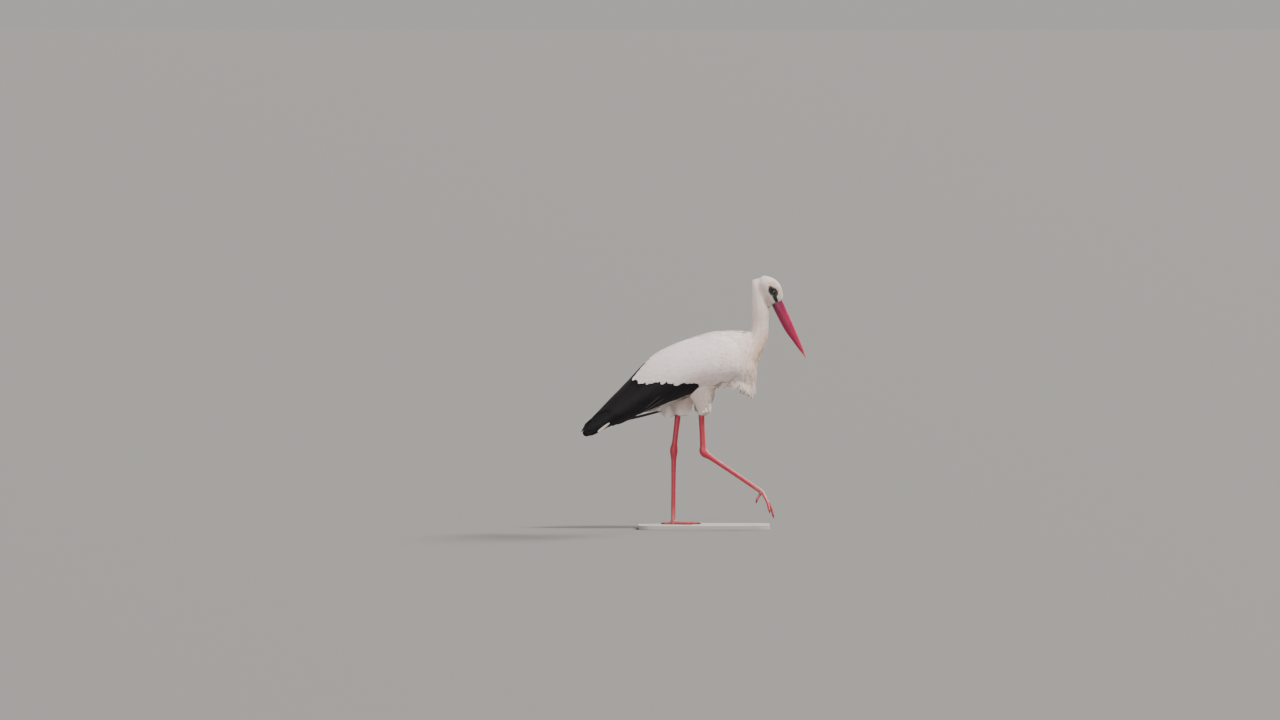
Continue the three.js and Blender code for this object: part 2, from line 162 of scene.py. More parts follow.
def mesh_of(name, points, quads, tint=None, maps=None):
    """A mesh of quads from arrays of points, faces, point colours and UV maps by point."""
    mesh = bpy.data.meshes.new(name)
    quads = np.asarray(quads, np.int32)
    mesh.vertices.add(len(points))
    mesh.vertices.foreach_set("co", put(points).astype(np.float32).ravel())
    mesh.loops.add(quads.size)
    mesh.loops.foreach_set("vertex_index", quads.ravel())
    mesh.polygons.add(len(quads))
    mesh.polygons.foreach_set("loop_start", np.arange(0, quads.size, quads.shape[1], dtype=np.int32))
    mesh.update(calc_edges=True)
    if tint is not None:
        paint(mesh, tint)
    for title, uv in (maps or {}).items():
        layer = mesh.uv_layers.new(name=title)
        layer.data.foreach_set("uv", np.asarray(uv, np.float32)[quads.ravel()].ravel())
    mesh.validate()
    return mesh


def points_of(mesh):
    """A mesh's points in the bird's own millimetres."""
    points = np.zeros(len(mesh.vertices) * 3, np.float32)
    mesh.vertices.foreach_get("co", points)
    return points.reshape(-1, 3).astype(float) / MM - ORIGIN


def edges_of(mesh):
    edges = np.zeros(len(mesh.edges) * 2, np.int32)
    mesh.edges.foreach_get("vertices", edges)
    return edges.reshape(-1, 2).T


def redraw(mesh, points, tint):
    mesh.vertices.foreach_set("co", put(points).astype(np.float32).ravel())
    paint(mesh, tint)
    mesh.update()


def grid_quads(rows, columns, closed=False):
    """Quads between rows of points, which join up round the end of each row where closed is true."""
    r, c = np.meshgrid(np.arange(rows - 1), np.arange(columns if closed else columns - 1), indexing="ij")
    low, beside = r * columns, (c + 1) % columns
    quads = [low + c, low + beside, low + columns + beside, low + columns + c]
    return np.stack(quads, -1).reshape(-1, 4)


def tube_grid(rings):
    """Points and quads of a closed tube through rings of equal length, with its ends gathered to a point."""
    rows, sides = rings.shape[:2]
    ends = [np.repeat(ring.mean(0)[None], sides, 0)[None] for ring in (rings[0], rings[-1])]
    full = np.concatenate([ends[0], rings, ends[1]])
    return full.reshape(-1, 3), grid_quads(rows + 2, sides, closed=True)


def limb_rings(rows, sides):
    """Oval rings across a bent path: x, y, z, half depth, half width."""
    rows = np.asarray(rows, float)
    centres = rows[:, :3]
    tangents = unit(np.gradient(centres, axis=0))
    side = unit(SIDE - tangents * tangents[:, 1:2])
    front = np.cross(side, tangents)
    angle = 2 * np.pi * (np.arange(sides) + 0.5) / sides
    depth = front[:, None] * (rows[:, 3, None] * np.cos(angle))[..., None]
    return centres[:, None] + depth + side[:, None] * (rows[:, 4, None] * np.sin(angle))[..., None]


def welded(mesh):
    """A bmesh of a mesh, with doubled points merged and faces turned outward."""
    work = bmesh.new()
    work.from_mesh(mesh)
    bmesh.ops.remove_doubles(work, verts=work.verts, dist=WELD)
    bmesh.ops.recalc_face_normals(work, faces=work.faces)
    return work


def poured(work, mesh):
    work.to_mesh(mesh)
    work.free()
    return mesh


def closed_mesh(name, points, quads, tint=None):
    """The mesh of a tube's grid, with the points at each end welded into one."""
    mesh = mesh_of(name, points, quads, tint)
    return poured(welded(mesh), mesh)


def keep_largest(mesh):
    """Leave out the walls of hollows that a join has closed in."""
    first, second = edges_of(mesh)
    label = np.arange(len(mesh.vertices))
    settling = True
    while settling:
        low = np.minimum(label[first], label[second])
        was = label.copy()
        np.minimum.at(label, first, low)
        np.minimum.at(label, second, low)
        label = label[label]
        settling = (label != was).any()
    walls = np.flatnonzero(label != np.bincount(label).argmax())
    work = bmesh.new()
    work.from_mesh(mesh)
    work.verts.ensure_lookup_table()
    bmesh.ops.delete(work, geom=[work.verts[k] for k in walls.tolist()], context="VERTS")
    poured(work, mesh)


def fused(name, meshes, voxel, grow, rounds):
    """One closed skin round several solids: grown a little so that they meet, joined, and smoothed."""
    work = bmesh.new()
    for mesh in meshes:
        part = welded(mesh)
        part.normal_update()
        for vert in part.verts:
            vert.co += vert.normal * grow * MM
        grown = poured(part, bpy.data.meshes.new("part"))
        work.from_mesh(grown)
        bpy.data.meshes.remove(grown)
    obj = add_object(name, poured(work, bpy.data.meshes.new(name)))
    remesh = obj.modifiers.new("join", "REMESH")
    remesh.mode = "VOXEL"
    remesh.voxel_size = voxel * MM
    relax = obj.modifiers.new("relax", "SMOOTH")
    relax.factor, relax.iterations = 0.5, rounds
    done = bpy.data.meshes.new_from_object(obj.evaluated_get(bpy.context.evaluated_depsgraph_get()))
    bpy.data.objects.remove(obj)
    keep_largest(done)
    done.name = name
    return done


class Surface:
    """A closed surface, in the bird's own millimetres, that feathers are rooted on and lie along."""

    TRIES = 3.2  # random roots tried for each square of the spacing
    CELL = 0.92  # the cells that keep one root each, as a share of the spacing

    def __init__(self, points, faces):
        self.points, self.faces = points, faces
        self.tree = BVHTree.FromPolygons(points.tolist(), faces.tolist())
        a, b, c = self.corners(slice(None))
        self.cross = np.cross(b - a, c - a)
        at_point = np.zeros_like(points)
        for k in range(3):
            np.add.at(at_point, faces[:, k], self.cross)
        self.normals = unit(unit(at_point)[faces].mean(1))

    def corners(self, chosen):
        return (self.points[self.faces[chosen, k]] for k in range(3))

    def snap(self, points):
        found = [self.tree.find_nearest(p) for p in points.tolist()]
        return np.array([f[0][:] for f in found]), self.normals[[f[2] for f in found]]

    def scatter(self, spacing, keep):
        """Random roots about a spacing apart, where keep(points) is true."""
        area = np.linalg.norm(self.cross, axis=1) / 2
        area = np.where(keep(self.points[self.faces].mean(1)), area, 0)
        count = int(self.TRIES * area.sum() / spacing**2)
        chosen = RANDOM.choice(len(area), count, p=area / area.sum())
        r1, r2 = np.sqrt(RANDOM.random(count)), RANDOM.random(count)
        a, b, c = self.corners(chosen)
        spots = a + (b - a) * (r1 * (1 - r2))[:, None] + (c - a) * (r1 * r2)[:, None]
        cells = np.floor(spots / (spacing * self.CELL)).astype(int)
        first = RANDOM.permutation(np.unique(cells, axis=0, return_index=True)[1])
        return spots[first], self.normals[chosen[first]]


def surface_of(mesh):
    mesh.calc_loop_triangles()
    faces = np.zeros(len(mesh.loop_triangles) * 3, np.int32)
    mesh.loop_triangles.foreach_get("vertices", faces)
    return Surface(points_of(mesh), faces.reshape(-1, 3))


def tube_surface(rings, inside):
    """The surface through rings, with its faces turned away from a point inside."""
    points, quads = tube_grid(rings)
    faces = np.concatenate([quads[:, [0, 1, 2]], quads[:, [0, 2, 3]]])
    surface = Surface(points, faces)
    if (surface.cross * (points[faces].mean(1) - inside)).sum() < 0:
        return Surface(points, faces[:, [0, 2, 1]])
    return surface


# ---------- the lie of the plumage ----------
SPINE_POINTS = np.insert(smooth_rows(SPINE, 90), 1, 0.0, axis=1)
SPINE_AHEAD = unit(np.gradient(SPINE_POINTS, axis=0))
WING_ROWS = smooth_rows(WINGS, 140)[::-1]
WING_SLOPES = [[-346, 45], [-200, 43], [-100, 38], [20, 27], [158, 22]]  # x and degrees below level
SPINE_NEAR = 150.0  # softens the pull of the nearest part of the spine
OUTSIDE = -50.0


def travelled(line):
    """How far along a line each of its points lies."""
    return np.concatenate([[0], np.cumsum(np.linalg.norm(np.diff(line, axis=0), axis=1))])


SPINE_REACH = travelled(SPINE_POINTS)


def spine_weights(points):
    away = ((points[:, None] - SPINE_POINTS[None]) ** 2).sum(-1)
    weights = 1 / (away + SPINE_NEAR) ** 2.5
    return weights / weights.sum(1, keepdims=True)


def reach_of(points):
    """How far along the spine each point lies, from the bill's base."""
    return spine_weights(points) @ SPINE_REACH


def body_flow(points):
    """The way the plumage lies: along the spine, and down the thighs."""
    flow = spine_weights(points) @ SPINE_AHEAD
    thigh = smoothstep(430, 370, points[:, 2]) * smoothstep(-110, -60, points[:, 0])
    return unit(flow + thigh[:, None] * np.array([0.2, 0.0, -2.2]))


def wing_flow(points):
    slope = np.radians(on_line(WING_SLOPES, points[:, 0]))
    return np.stack([-np.cos(slope), np.zeros(len(points)), -np.sin(slope)], 1)


def wing_section(x):
    """The folded wing's top, bottom and half width at x, and the height where it is widest."""
    top, bottom, half = (np.interp(x, WING_ROWS[:, 0], WING_ROWS[:, k]) for k in (1, 2, 3))
    return top, bottom, half, between(bottom, top, WIDEST)


def wing_point(x, angle, side):
    """A point on the outer face of a folded wing: angle 90 degrees is the top and -90 the bottom."""
    top, bottom, half, middle = wing_section(x)
    sine = np.sin(np.radians(angle))
    rise = sine * np.where(sine > 0, top - middle, middle - bottom)
    return np.stack([x, side * half * np.cos(np.radians(angle)), middle + rise], -1)


def wing_angle(x, z):
    top, bottom, _, middle = wing_section(x)
    sine = (z - middle) / np.where(z > middle, top - middle, middle - bottom)
    return np.degrees(np.arcsin(np.clip(sine, -0.98, 0.98)))


def above_wing_edge(points):
    return points[..., 2] - on_line(WING_EDGE, points[..., 0])


def is_wing(points, margin=0.0):
    """Where the folded wings cover the body, a margin out from the back's white mantle."""
    x, y = points[:, 0], points[:, 1]
    along = (x > WING_ENDS[0]) & (x < WING_ENDS[1])
    return along & (above_wing_edge(points) > 0) & (np.abs(y) > on_line(MANTLE, x) + margin)


# The line from the top of the back to the rear of the covert edge, behind which the wing is black: x and z.
BLACK_TOP, BLACK_LOW = (-112, 524), (-184, 446)


def black_depth(points):
    """How far a point is inside the black: under the covert edge, or behind the white of the back."""
    x, z = points[:, 0], points[:, 2]
    under = on_line(COVERT_EDGE, x) - z
    under = np.where((x > 14) | (x <= BLACK_LOW[0] - 25), OUTSIDE, under)
    run = np.maximum((z - BLACK_LOW[1]) / (BLACK_TOP[1] - BLACK_LOW[1]), 0)
    return np.maximum(under, (between(BLACK_LOW[0], BLACK_TOP[0], run) - x) * 0.75)


# ---------- feathers ----------
BAKE_PATCH = 0.003
TIP_CROWDING = 1.7
PROBE = 6.0  # how far outside the surface a march looks from, so that it finds the outer face
# Outlines of a vane: share of its length and share of its width.
ROUND_TIP = [(0, 0.25), (0.12, 0.7), (0.45, 1), (0.75, 0.97), (0.9, 0.76), (0.97, 0.42), (1, 0.08)]
POINTED_TIP = [(0, 0.3), (0.15, 0.8), (0.5, 1), (0.8, 0.6), (1, 0.06)]
LONG_TIP = [(0, 0.35), (0.1, 0.75), (0.4, 1), (0.82, 0.95), (0.93, 0.68), (0.98, 0.36), (1, 0.06)]
LONG_LOOK = {"shape": LONG_TIP, "columns": 5}


def unwrap(points):
    """A place on the unrolled skin: how far along the spine, and the way round it."""
    weights = spine_weights(points)
    nearest = weights.argmax(1)
    ahead, out = SPINE_AHEAD[nearest], points - SPINE_POINTS[nearest]
    above = np.cross(ahead, SIDE)
    turn = np.arctan2(out[:, 1], (out * above).sum(1)) / (2 * np.pi) + 0.5
    return np.stack([turn, (weights @ SPINE_REACH) / SPINE_REACH[-1]], 1)


def march(surface, roots, normals, flow, length, steps, hangs=None):
    """Spines that run from each root along the surface, and straight down once hangs(points) is true."""
    spot, out = roots.copy(), normals.copy()
    ahead = unit(flow - out * (flow * out).sum(1, keepdims=True))
    loose = np.zeros((len(roots), 1), bool)
    spines, outs = [spot], [out]
    for _ in range(steps):
        onward = spot + ahead * (length / steps)[:, None]
        near, turned = surface.snap(onward + out * PROBE)
        if hangs is not None:
            loose = loose | hangs(spot)[:, None]
        spot = np.where(loose, onward, near)
        out = np.where(loose, out, turned)
        ahead = np.where(loose, unit(ahead - 0.7 * UP), ahead)
        out = unit(out - ahead * (ahead * out).sum(1, keepdims=True) * loose)
        ahead = unit(ahead - out * (ahead * out).sum(1, keepdims=True))
        spines.append(spot)
        outs.append(out)
    return np.stack(spines), np.stack(outs)


def resampled(values, shares):
    places = shares * (len(values) - 1)
    start = np.minimum(places.astype(int), len(values) - 2)
    t = (places - start)[:, None, None]
    return values[start] * (1 - t) + values[start + 1] * t


def vane_arrays(spines, outs, width, tint, first, shape=ROUND_TIP, camber=0.08, columns=3):
    """Points, quads, colours and UV maps of one vane for each spine, with its rows closer towards the tip."""
    rows, count = spines.shape[:2]
    along = 1 - (1 - np.linspace(0, 1, rows)) ** TIP_CROWDING
    across = np.linspace(-1, 1, columns)
    spines, outs = resampled(spines, along), unit(resampled(outs, along))
    side = unit(np.cross(unit(np.gradient(spines, axis=0)), outs))
    half = width[None] / 2 * on_line(shape, along)[:, None]
    grid = spines[:, None] + side[:, None] * (across[None, :, None] * half[:, None])[..., None]
    grid = grid - outs[:, None] * (camber * across[None, :, None] ** 2 * half[:, None])[..., None]
    points = grid.transpose(2, 0, 1, 3).reshape(-1, 3)
    starts = (np.arange(count) * rows * columns)[:, None, None] + first
    quads = (grid_quads(rows, columns)[None] + starts).reshape(-1, 4)
    vane = np.stack(np.broadcast_arrays(across[None] * 0.5 + 0.5, along[:, None]), -1).reshape(-1, 2)
    patch = unwrap(spines[0])[:, None] + (vane[None] - 0.5) * BAKE_PATCH
    colours = np.repeat(tint, rows * columns, axis=0)
    return points, quads, colours, np.tile(vane, (count, 1)), patch.reshape(-1, 2)


def add_coat(name, batches, material, replaced=()):
    """One piece of all the vanes in the batches, with the OFBake map spread over the whole of its square."""
    first, gathered = 0, []
    for batch in batches:
        arrays = vane_arrays(**batch, first=first)
        gathered.append(arrays)
        first += len(arrays[0])
    points, quads, colours, vane, patch = (np.concatenate(part) for part in zip(*gathered))
    middles = patch - (vane - 0.5) * BAKE_PATCH
    low, high = middles.min(0), middles.max(0)
    spread = (middles - low) / np.maximum(high - low, 1e-6) * (1 - 2 * BAKE_PATCH) + BAKE_PATCH
    maps = {"vane": vane, "OFBake": spread + (vane - 0.5) * BAKE_PATCH}
    add_piece(name, mesh_of(name, points, quads, colours, maps), material, replaced)


def raised(spines, outs, sunk, lift):
    """Spines that start sunk below the surface and rise to stand lift above it at their tips."""
    share = np.linspace(0, 1, len(spines))[:, None]
    height = -np.asarray(sunk) * (1 - share) ** 1.3 + np.asarray(lift) * share
    return spines + outs * height[..., None]


# ---------- colours ----------
WHITE = np.array([0.81, 0.725, 0.70])
BLACK = np.array([0.0055, 0.005, 0.007])
BUFF = np.array([0.60, 0.36, 0.22])
FACE_BLACK = np.array([0.02, 0.018, 0.02])
# Buff on the white, as stains and as painted shade: x, z, reach and strength. The entries at the flank under
# the wing's front (72, 440), the belly (30, 390) and the jaw line (227, 680) are painted shade in buff.
STAINS_AND_SHADE = [
    (222, 560, 36, 0.80), (226, 600, 26, 0.60), (205, 520, 38, 0.55), (150, 450, 42, 0.26),
    (72, 440, 40, 0.36), (215, 640, 28, 0.32), (257, 709, 8, 0.85), (245, 727, 10, 0.50),
    (30, 390, 36, 0.30), (227, 680, 10, 0.60), (213, 716, 15, 0.32), (190, 420, 20, 0.10),
]


def white_tint(points, spread=0.05):
    tint = np.tile(WHITE, (len(points), 1))
    # buff from the stains, and painted shade at the flank, the belly and the jaw line
    stain_and_shade = np.zeros(len(points))
    for x, z, reach, strength in STAINS_AND_SHADE:
        away = (points[:, 0] - x) ** 2 + (points[:, 2] - z) ** 2
        stain_and_shade = np.maximum(stain_and_shade, strength * np.exp(-away / (2 * reach**2)))
    stain_and_shade = stain_and_shade * RANDOM.uniform(0.5, 1.3, len(points))
    tint = between(tint, BUFF, np.clip(stain_and_shade, 0, 1)[:, None])
    return tint * (1 + RANDOM.uniform(-spread, spread, len(points)))[:, None]


def black_tint(count):
    return BLACK * RANDOM.uniform(0.75, 1.5, count)[:, None]


# ---------- materials ----------
class Shader:
    """A material, and the few kinds of node that feed its shader."""

    def __init__(self, name, colour, roughness, **constants):
        self.material = bpy.data.materials.new(name)
        self.material.use_nodes = True
        self.nodes, self.links = self.material.node_tree.nodes, self.material.node_tree.links
        self.inputs = self.nodes["Principled BSDF"].inputs
        constants.update(Base_Color=(*colour, 1), Roughness=roughness)
        for socket, value in constants.items():
            self.inputs[socket.replace("_", " ")].default_value = value

    def node(self, kind, output, inputs, **settings):
        """An output of a new node, whose inputs are plain values or the outputs of other nodes."""
        node = self.nodes.new("ShaderNode" + kind)
        for setting, value in settings.items():
            setattr(node, setting, value)
        for socket, value in inputs.items():
            if isinstance(value, bpy.types.NodeSocket):
                self.links.new(value, node.inputs[socket])
            else:
                node.inputs[socket].default_value = value
        return node.outputs[output]

    def maths(self, operation, *values):
        return self.node("Math", 0, dict(enumerate(values)), operation=operation)

    def mul_add(self, value, factor, added):
        return self.maths("MULTIPLY_ADD", value, factor, added)

    def place(self):
        return self.node("TexCoord", "Object", {})

    def noise(self, scale, detail=3.0, stretch=(1.0, 1.0, 1.0)):
        place = self.node("Mapping", 0, {"Vector": self.place(), "Scale": stretch})
        return self.node("TexNoise", "Fac", {"Vector": place, "Scale": scale, "Detail": detail})

    def tinted(self, shade):
        """The colour of each point, made lighter or darker by a shade."""
        tint = self.node("Attribute", "Color", {}, attribute_name="tint")
        self.links.new(self.node("VectorMath", 0, {0: tint, "Scale": shade}, operation="SCALE"),
                       self.inputs["Base Color"])

    def bumped(self, height, strength, distance):
        bump = self.node("Bump", 0, {"Strength": strength, "Distance": distance, "Height": height})
        self.links.new(bump, self.inputs["Normal"])


def feather_material(name, roughness, barb_shade, shaft_shade, **constants):
    """Each feather's own colour, with fine slanting barbs and a shaft."""
    shader = Shader(name, (0.5, 0.5, 0.5), roughness, **constants)
    vane = shader.node("UVMap", 0, {}, uv_map="vane")
    across, along = (shader.node("SeparateXYZ", k, {0: vane}) for k in (0, 1))
    from_shaft = shader.maths("ABSOLUTE", shader.maths("SUBTRACT", across, 0.5))
    slant = shader.maths("MULTIPLY", from_shaft, 34.0)
    barbs = shader.maths("SINE", shader.maths("SUBTRACT", shader.maths("MULTIPLY", along, 70.0), slant))
    shaft = shader.maths("LESS_THAN", from_shaft, 0.035)
    shade = shader.mul_add(shaft, shaft_shade, shader.mul_add(barbs, barb_shade, 1.0))
    shader.tinted(shader.maths("MULTIPLY", shade, shader.mul_add(shader.noise(45.0), 0.16, 0.92)))
    shader.bumped(barbs, 0.12, 0.0003)
    return shader.material


def skin_material(name, roughness, scale, strength, **constants):
    """Skin of small scales, in the colour of the mesh."""
    shader = Shader(name, (0.5, 0.1, 0.1), roughness, **constants)
    cells = shader.node("TexVoronoi", "Distance", {"Vector": shader.place(), "Scale": scale},
                        feature="DISTANCE_TO_EDGE")
    height = shader.maths("MINIMUM", cells, 0.16)
    patchy = shader.mul_add(shader.noise(90.0), 0.5, 0.75)
    shader.tinted(shader.maths("MULTIPLY", shader.mul_add(height, 0.8, 0.9), patchy))
    shader.bumped(height, strength, 0.002)
    return shader.material


def horn_material(name, roughness, **constants):
    """Smooth horn with fine streaks along it."""
    shader = Shader(name, (0.5, 0.02, 0.05), roughness, **constants)
    streaks = shader.noise(60.0, 5.0, (3.0, 3.0, 0.6))
    shader.tinted(shader.mul_add(streaks, 0.5, 0.75))
    shader.links.new(shader.mul_add(shader.noise(140.0), 0.25, roughness - 0.1), shader.inputs["Roughness"])
    shader.bumped(streaks, 0.12, 0.0006)
    return shader.material


def painted_material(name, colour, roughness):
    """Matt paint with a fine grain and faint clouds."""
    shader = Shader(name, colour, roughness)
    grain, cloud = shader.noise(600.0), shader.noise(9.0)
    dim, bright = ((*[share * channel for channel in colour], 1) for share in (0.93, 1.07))
    mixed = shader.node("Mix", "Result", {"A": dim, "B": bright, "Factor": cloud}, data_type="RGBA")
    shader.links.new(mixed, shader.inputs["Base Color"])
    shader.links.new(shader.mul_add(grain, 0.15, roughness - 0.07), shader.inputs["Roughness"])
    shader.bumped(grain, 0.15, 0.0002)
    return shader.material


white_feathers = feather_material("white_feathers", 0.78, 0.045, -0.03, Sheen_Weight=0.15)
black_feathers = feather_material("black_feathers", 0.55, 0.10, 0.5, Specular_IOR_Level=0.28)
skin_stuff = skin_material("pale_skin", 0.7, 260.0, 0.2)
leg_skin = skin_material("leg_skin", 0.48, 380.0, 0.14)
face_skin = skin_material("face_skin", 0.5, 900.0, 0.15)
bill_horn = horn_material("bill_horn", 0.34, Coat_Weight=0.25, Coat_Roughness=0.25)
claw_horn = horn_material("claw_horn", 0.4)
eye_gloss = horn_material("eye_gloss", 0.12, Coat_Weight=1.0, Coat_Roughness=0.02)
stand_paint = painted_material("stand_paint", (0.40, 0.38, 0.355), 0.55)

# ---------- skin ----------
FLESH = ["head", "neck_upper", "neck_lower", "trunk", "thigh_left", "thigh_right"]
ARMS = ["wing_coverts_left", "wing_coverts_right"]
GUIDE_GROWTH = 0.6
SKIN_GROWTH = 1.8  # the solids grow this much before they join, so that no slit is left between them
# How deep the skin lies under the plumage, by the way along the spine.
COAT_DEPTH = [(0, 0.8), (40, 2.0), (110, 3.5), (180, 5.0), (260, 7.0), (340, 8.5), (700, 8.0), (950, 5.0)]
# The bare skin's middle line and half width, by the way back from the bill's base.
LORES_ENDS = (-6, 50)
LORES_MIDDLE = [(0, -1.5), (20, 1.0), (35, 4.0), (46, 5.5)]
LORES_HALF = [(-4, 3.2), (4, 3.4), (20, 4.2), (28, 7.0), (35, 8.6), (42, 6.0), (49, 0.5)]


def solids(names):
    return [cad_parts[name].data for name in names]


def wing_surface():
    x = WING_ROWS[:, 0]
    turns = np.linspace(0, 360, 64, endpoint=False)
    rings = np.stack([wing_point(x, np.full(len(x), turn), 1) for turn in turns], 1)
    return tube_surface(rings, np.array([0, 0, 450]))


body_surface = surface_of(fused("head_guide", solids(FLESH), voxel=3.0, grow=GUIDE_GROWTH, rounds=6))
torso_solids = solids([*FLESH[1:], *ARMS, "breast_plumes"])
torso_surface = surface_of(fused("torso_guide", torso_solids, voxel=4.0, grow=1.8, rounds=16))
wings = wing_surface()


def coat_depth(points):
    return on_line(COAT_DEPTH, reach_of(points))


def skin_depth(points):
    """How deep the skin lies inside the grown and joined solids."""
    return coat_depth(points) + SKIN_GROWTH - GUIDE_GROWTH


def head_place(points):
    """How far points lie back from the bill's base, and how far up across the head."""
    out = points - BILL_BASE
    return out @ BACK, out @ CROWN


def head_point(along, up, side):
    """The point that lies so far back from the bill's base, so far up and so far to a side."""
    return (BILL_BASE + np.multiply.outer(along, BACK) + np.multiply.outer(up, CROWN)
            + np.multiply.outer(side, SIDE))


def eye_middle(side):
    return head_point(EYE["along"], EYE["up"], side * EYE["side"])


def lores(points):
    """How far a point is inside the bare black skin from the bill past the eye, in millimetres."""
    along, up = head_place(points)
    inside = on_line(LORES_HALF, along) - np.abs(up - on_line(LORES_MIDDLE, along))
    return np.where((along > LORES_ENDS[0]) & (along < LORES_ENDS[1]), inside, OUTSIDE)


def near_eye(points, margin=3.5):
    away = points - eye_middle(np.where(points[:, 1] > 0, 1, -1))
    return np.linalg.norm(away, axis=1) < EYE["radius"] + margin


def settled(points, mesh, shell):
    """Points of the skin, with those too near the outside of the shell drawn in by their neighbours."""
    near, outward = shell.snap(points)
    shallow = ((near - points) * outward).sum(1) < 0.55 * skin_depth(points)
    first, second = edges_of(mesh)
    for _ in range(2):
        wider = shallow.copy()
        np.logical_or.at(wider, first, shallow[second])
        np.logical_or.at(wider, second, shallow[first])
        shallow = wider
    degree = np.bincount(first, minlength=len(points)) + np.bincount(second, minlength=len(points))
    for _ in range(60):
        total = np.zeros_like(points)
        np.add.at(total, first, points[second])
        np.add.at(total, second, points[first])
        points = np.where(shallow[:, None], total / degree[:, None], points)
    return points


def make_skin():
    mesh = fused("skin", solids(FLESH + ARMS), voxel=3.2, grow=SKIN_GROWTH, rounds=6)
    normals = np.zeros(len(mesh.vertices) * 3, np.float32)
    mesh.vertex_normals.foreach_get("vector", normals)
    points, shell = points_of(mesh), surface_of(mesh)
    points = settled(points - normals.reshape(-1, 3) * skin_depth(points)[:, None], mesh, shell)
    tint = white_tint(points, 0.02) * 0.8
    bare = ((lores(points) > 0) & (np.abs(points[:, 1]) > 6)) | near_eye(points, 5.0)
    tint[bare] = FACE_BLACK
    tint[is_wing(points) & (black_depth(points) > 4)] = BLACK * 2
    redraw(mesh, points, tint)
    add_piece("skin", mesh, skin_stuff, FLESH + ARMS)


make_skin()

# ---------- plumage of the head, neck and body ----------
# By the way along the spine: length and width of a feather.
FEATHER_LENGTH = [(0, 6), (40, 10), (90, 14), (130, 22), (200, 28), (290, 38), (360, 46), (450, 50),
                  (700, 54), (950, 70)]
FEATHER_WIDTH = [(0, 1.3), (40, 1.6), (90, 2.2), (130, 3.0), (200, 3.6), (290, 5.0), (360, 7.0), (450, 9.0),
                 (700, 10), (950, 14)]
LIFT = [(0, 0.3), (120, 0.7), (400, 1.1)]
TUCK = 9.0  # how deep body feathers lie where the folded wing covers them
SHANK_TOP = 337.0
# How low the feathers of the thighs and the belly hang: x and z.
THIGH_HEM = [(-100, 345), (-88, 330), (-82, 321), (-70, 325), (-56, 331), (-48, 334), (-35, 332), (-17, 335),
             (-2, 352), (8, 340), (14, 335), (38, 337), (50, 345), (60, 372)]
BELLY_HEM = [(-42, 331), (-9, 339), (2, 353), (18, 333)]
TROUSER_HEM = 340.0
SOFT_WIDTH = (3.5, 5.5)


def above_hem(points):
    return points[:, 2] - on_line(THIGH_HEM, points[:, 0])


def below(height):
    return lambda points: points[:, 2] < height


def tucked(points):
    """How deep body feathers lie because the folded wing covers them, in millimetres."""
    beside = smoothstep(24, 8, points[..., 0]) * (np.abs(points[..., 1]) > 14)
    return TUCK * beside * smoothstep(-14, 4, above_wing_edge(points))


def covered(points):
    """Where no body feather is rooted: under the wings, in the bill and the eyes, and on the shanks."""
    along, up = head_place(points)
    under_wing = is_wing(points, 12) & (points[:, 0] < 122) & (above_wing_edge(points) > 14)
    in_bill = (along < 1.0) & (np.abs(up) < 26)
    return under_wing | in_bill | near_eye(points) | (points[:, 2] < SHANK_TOP)


def band_place(reaches, heights):
    """Places between two ways along the spine and two heights, but not where only the ruff grows."""
    def keep(points):
        x, y, z = points.T
        reach = reach_of(points) + 9 * np.sin(x * 0.5) * np.sin(y * 0.6 + z * 0.4)
        inside = (reach >= reaches[0]) & (reach < reaches[1]) & (z > heights[0]) & (z <= heights[1])
        return inside & ~covered(points) & ~((x > 72) & (z < 438))
    return keep


def box_place(*bounds):
    """Places inside a box, told by the bounds of x, y and z."""
    low, high = np.array(bounds, float).T
    return lambda points: ((points > low) & (points < high)).all(1) & ~covered(points)


def feather_batch(surface, roots, normals, flow, tint, length, width, steps, lift, hangs=None, **look):
    spines, outs = march(surface, roots, normals, flow, length, steps, hangs)
    spines = raised(spines, outs, coat_depth(roots), lift) - outs * tucked(spines)[..., None]
    return {"spines": spines, "outs": outs, "width": width, "tint": tint, **look}


def wavered(flow, normals, wobble):
    return flow + np.cross(flow, normals) * RANDOM.normal(0, wobble, len(flow))[:, None]


def dark_place(roots, middles, tips):
    """Feathers that lie on the bare black skin of the face."""
    on_lores = (np.maximum(lores(roots) + 1.5, lores(middles) + 0.8) > 0) & (np.abs(roots[:, 1]) > 5)
    return on_lores | near_eye(tips, 4.0) | near_eye(middles, 4.0) | near_eye(roots, 5.0)


def body_batch(surface, spacing, keep, steps, shape=POINTED_TIP, longer=1.0, wider=1.0, wobble=0.12,
               hangs=None):
    roots, normals = surface.scatter(spacing, keep)
    facing_bill = (np.linalg.norm(roots - BILL_BASE, axis=1) < 30) & (normals @ BACK < -0.8)
    roots, normals = roots[~facing_bill], normals[~facing_bill]
    count, reach = len(roots), reach_of(roots)
    length = on_line(FEATHER_LENGTH, reach) * RANDOM.uniform(0.85, 1.15, count) * longer
    width = on_line(FEATHER_WIDTH, reach) * RANDOM.uniform(0.9, 1.1, count) * wider
    if hangs is not None:
        length = np.minimum(length, np.maximum(above_hem(roots), 6) * RANDOM.uniform(0.85, 1.1, count))
    flow = wavered(body_flow(roots), normals, wobble)
    lift = RANDOM.uniform(-0.6, 0.4, count) * on_line(LIFT, reach)
    tint = white_tint(roots)
    run = flow * length[:, None]
    tint[dark_place(roots, roots + run * 0.6, roots + run)] = FACE_BLACK * 1.5
    return feather_batch(surface, roots, normals, flow, tint, length, width, steps, lift, hangs, shape=shape)


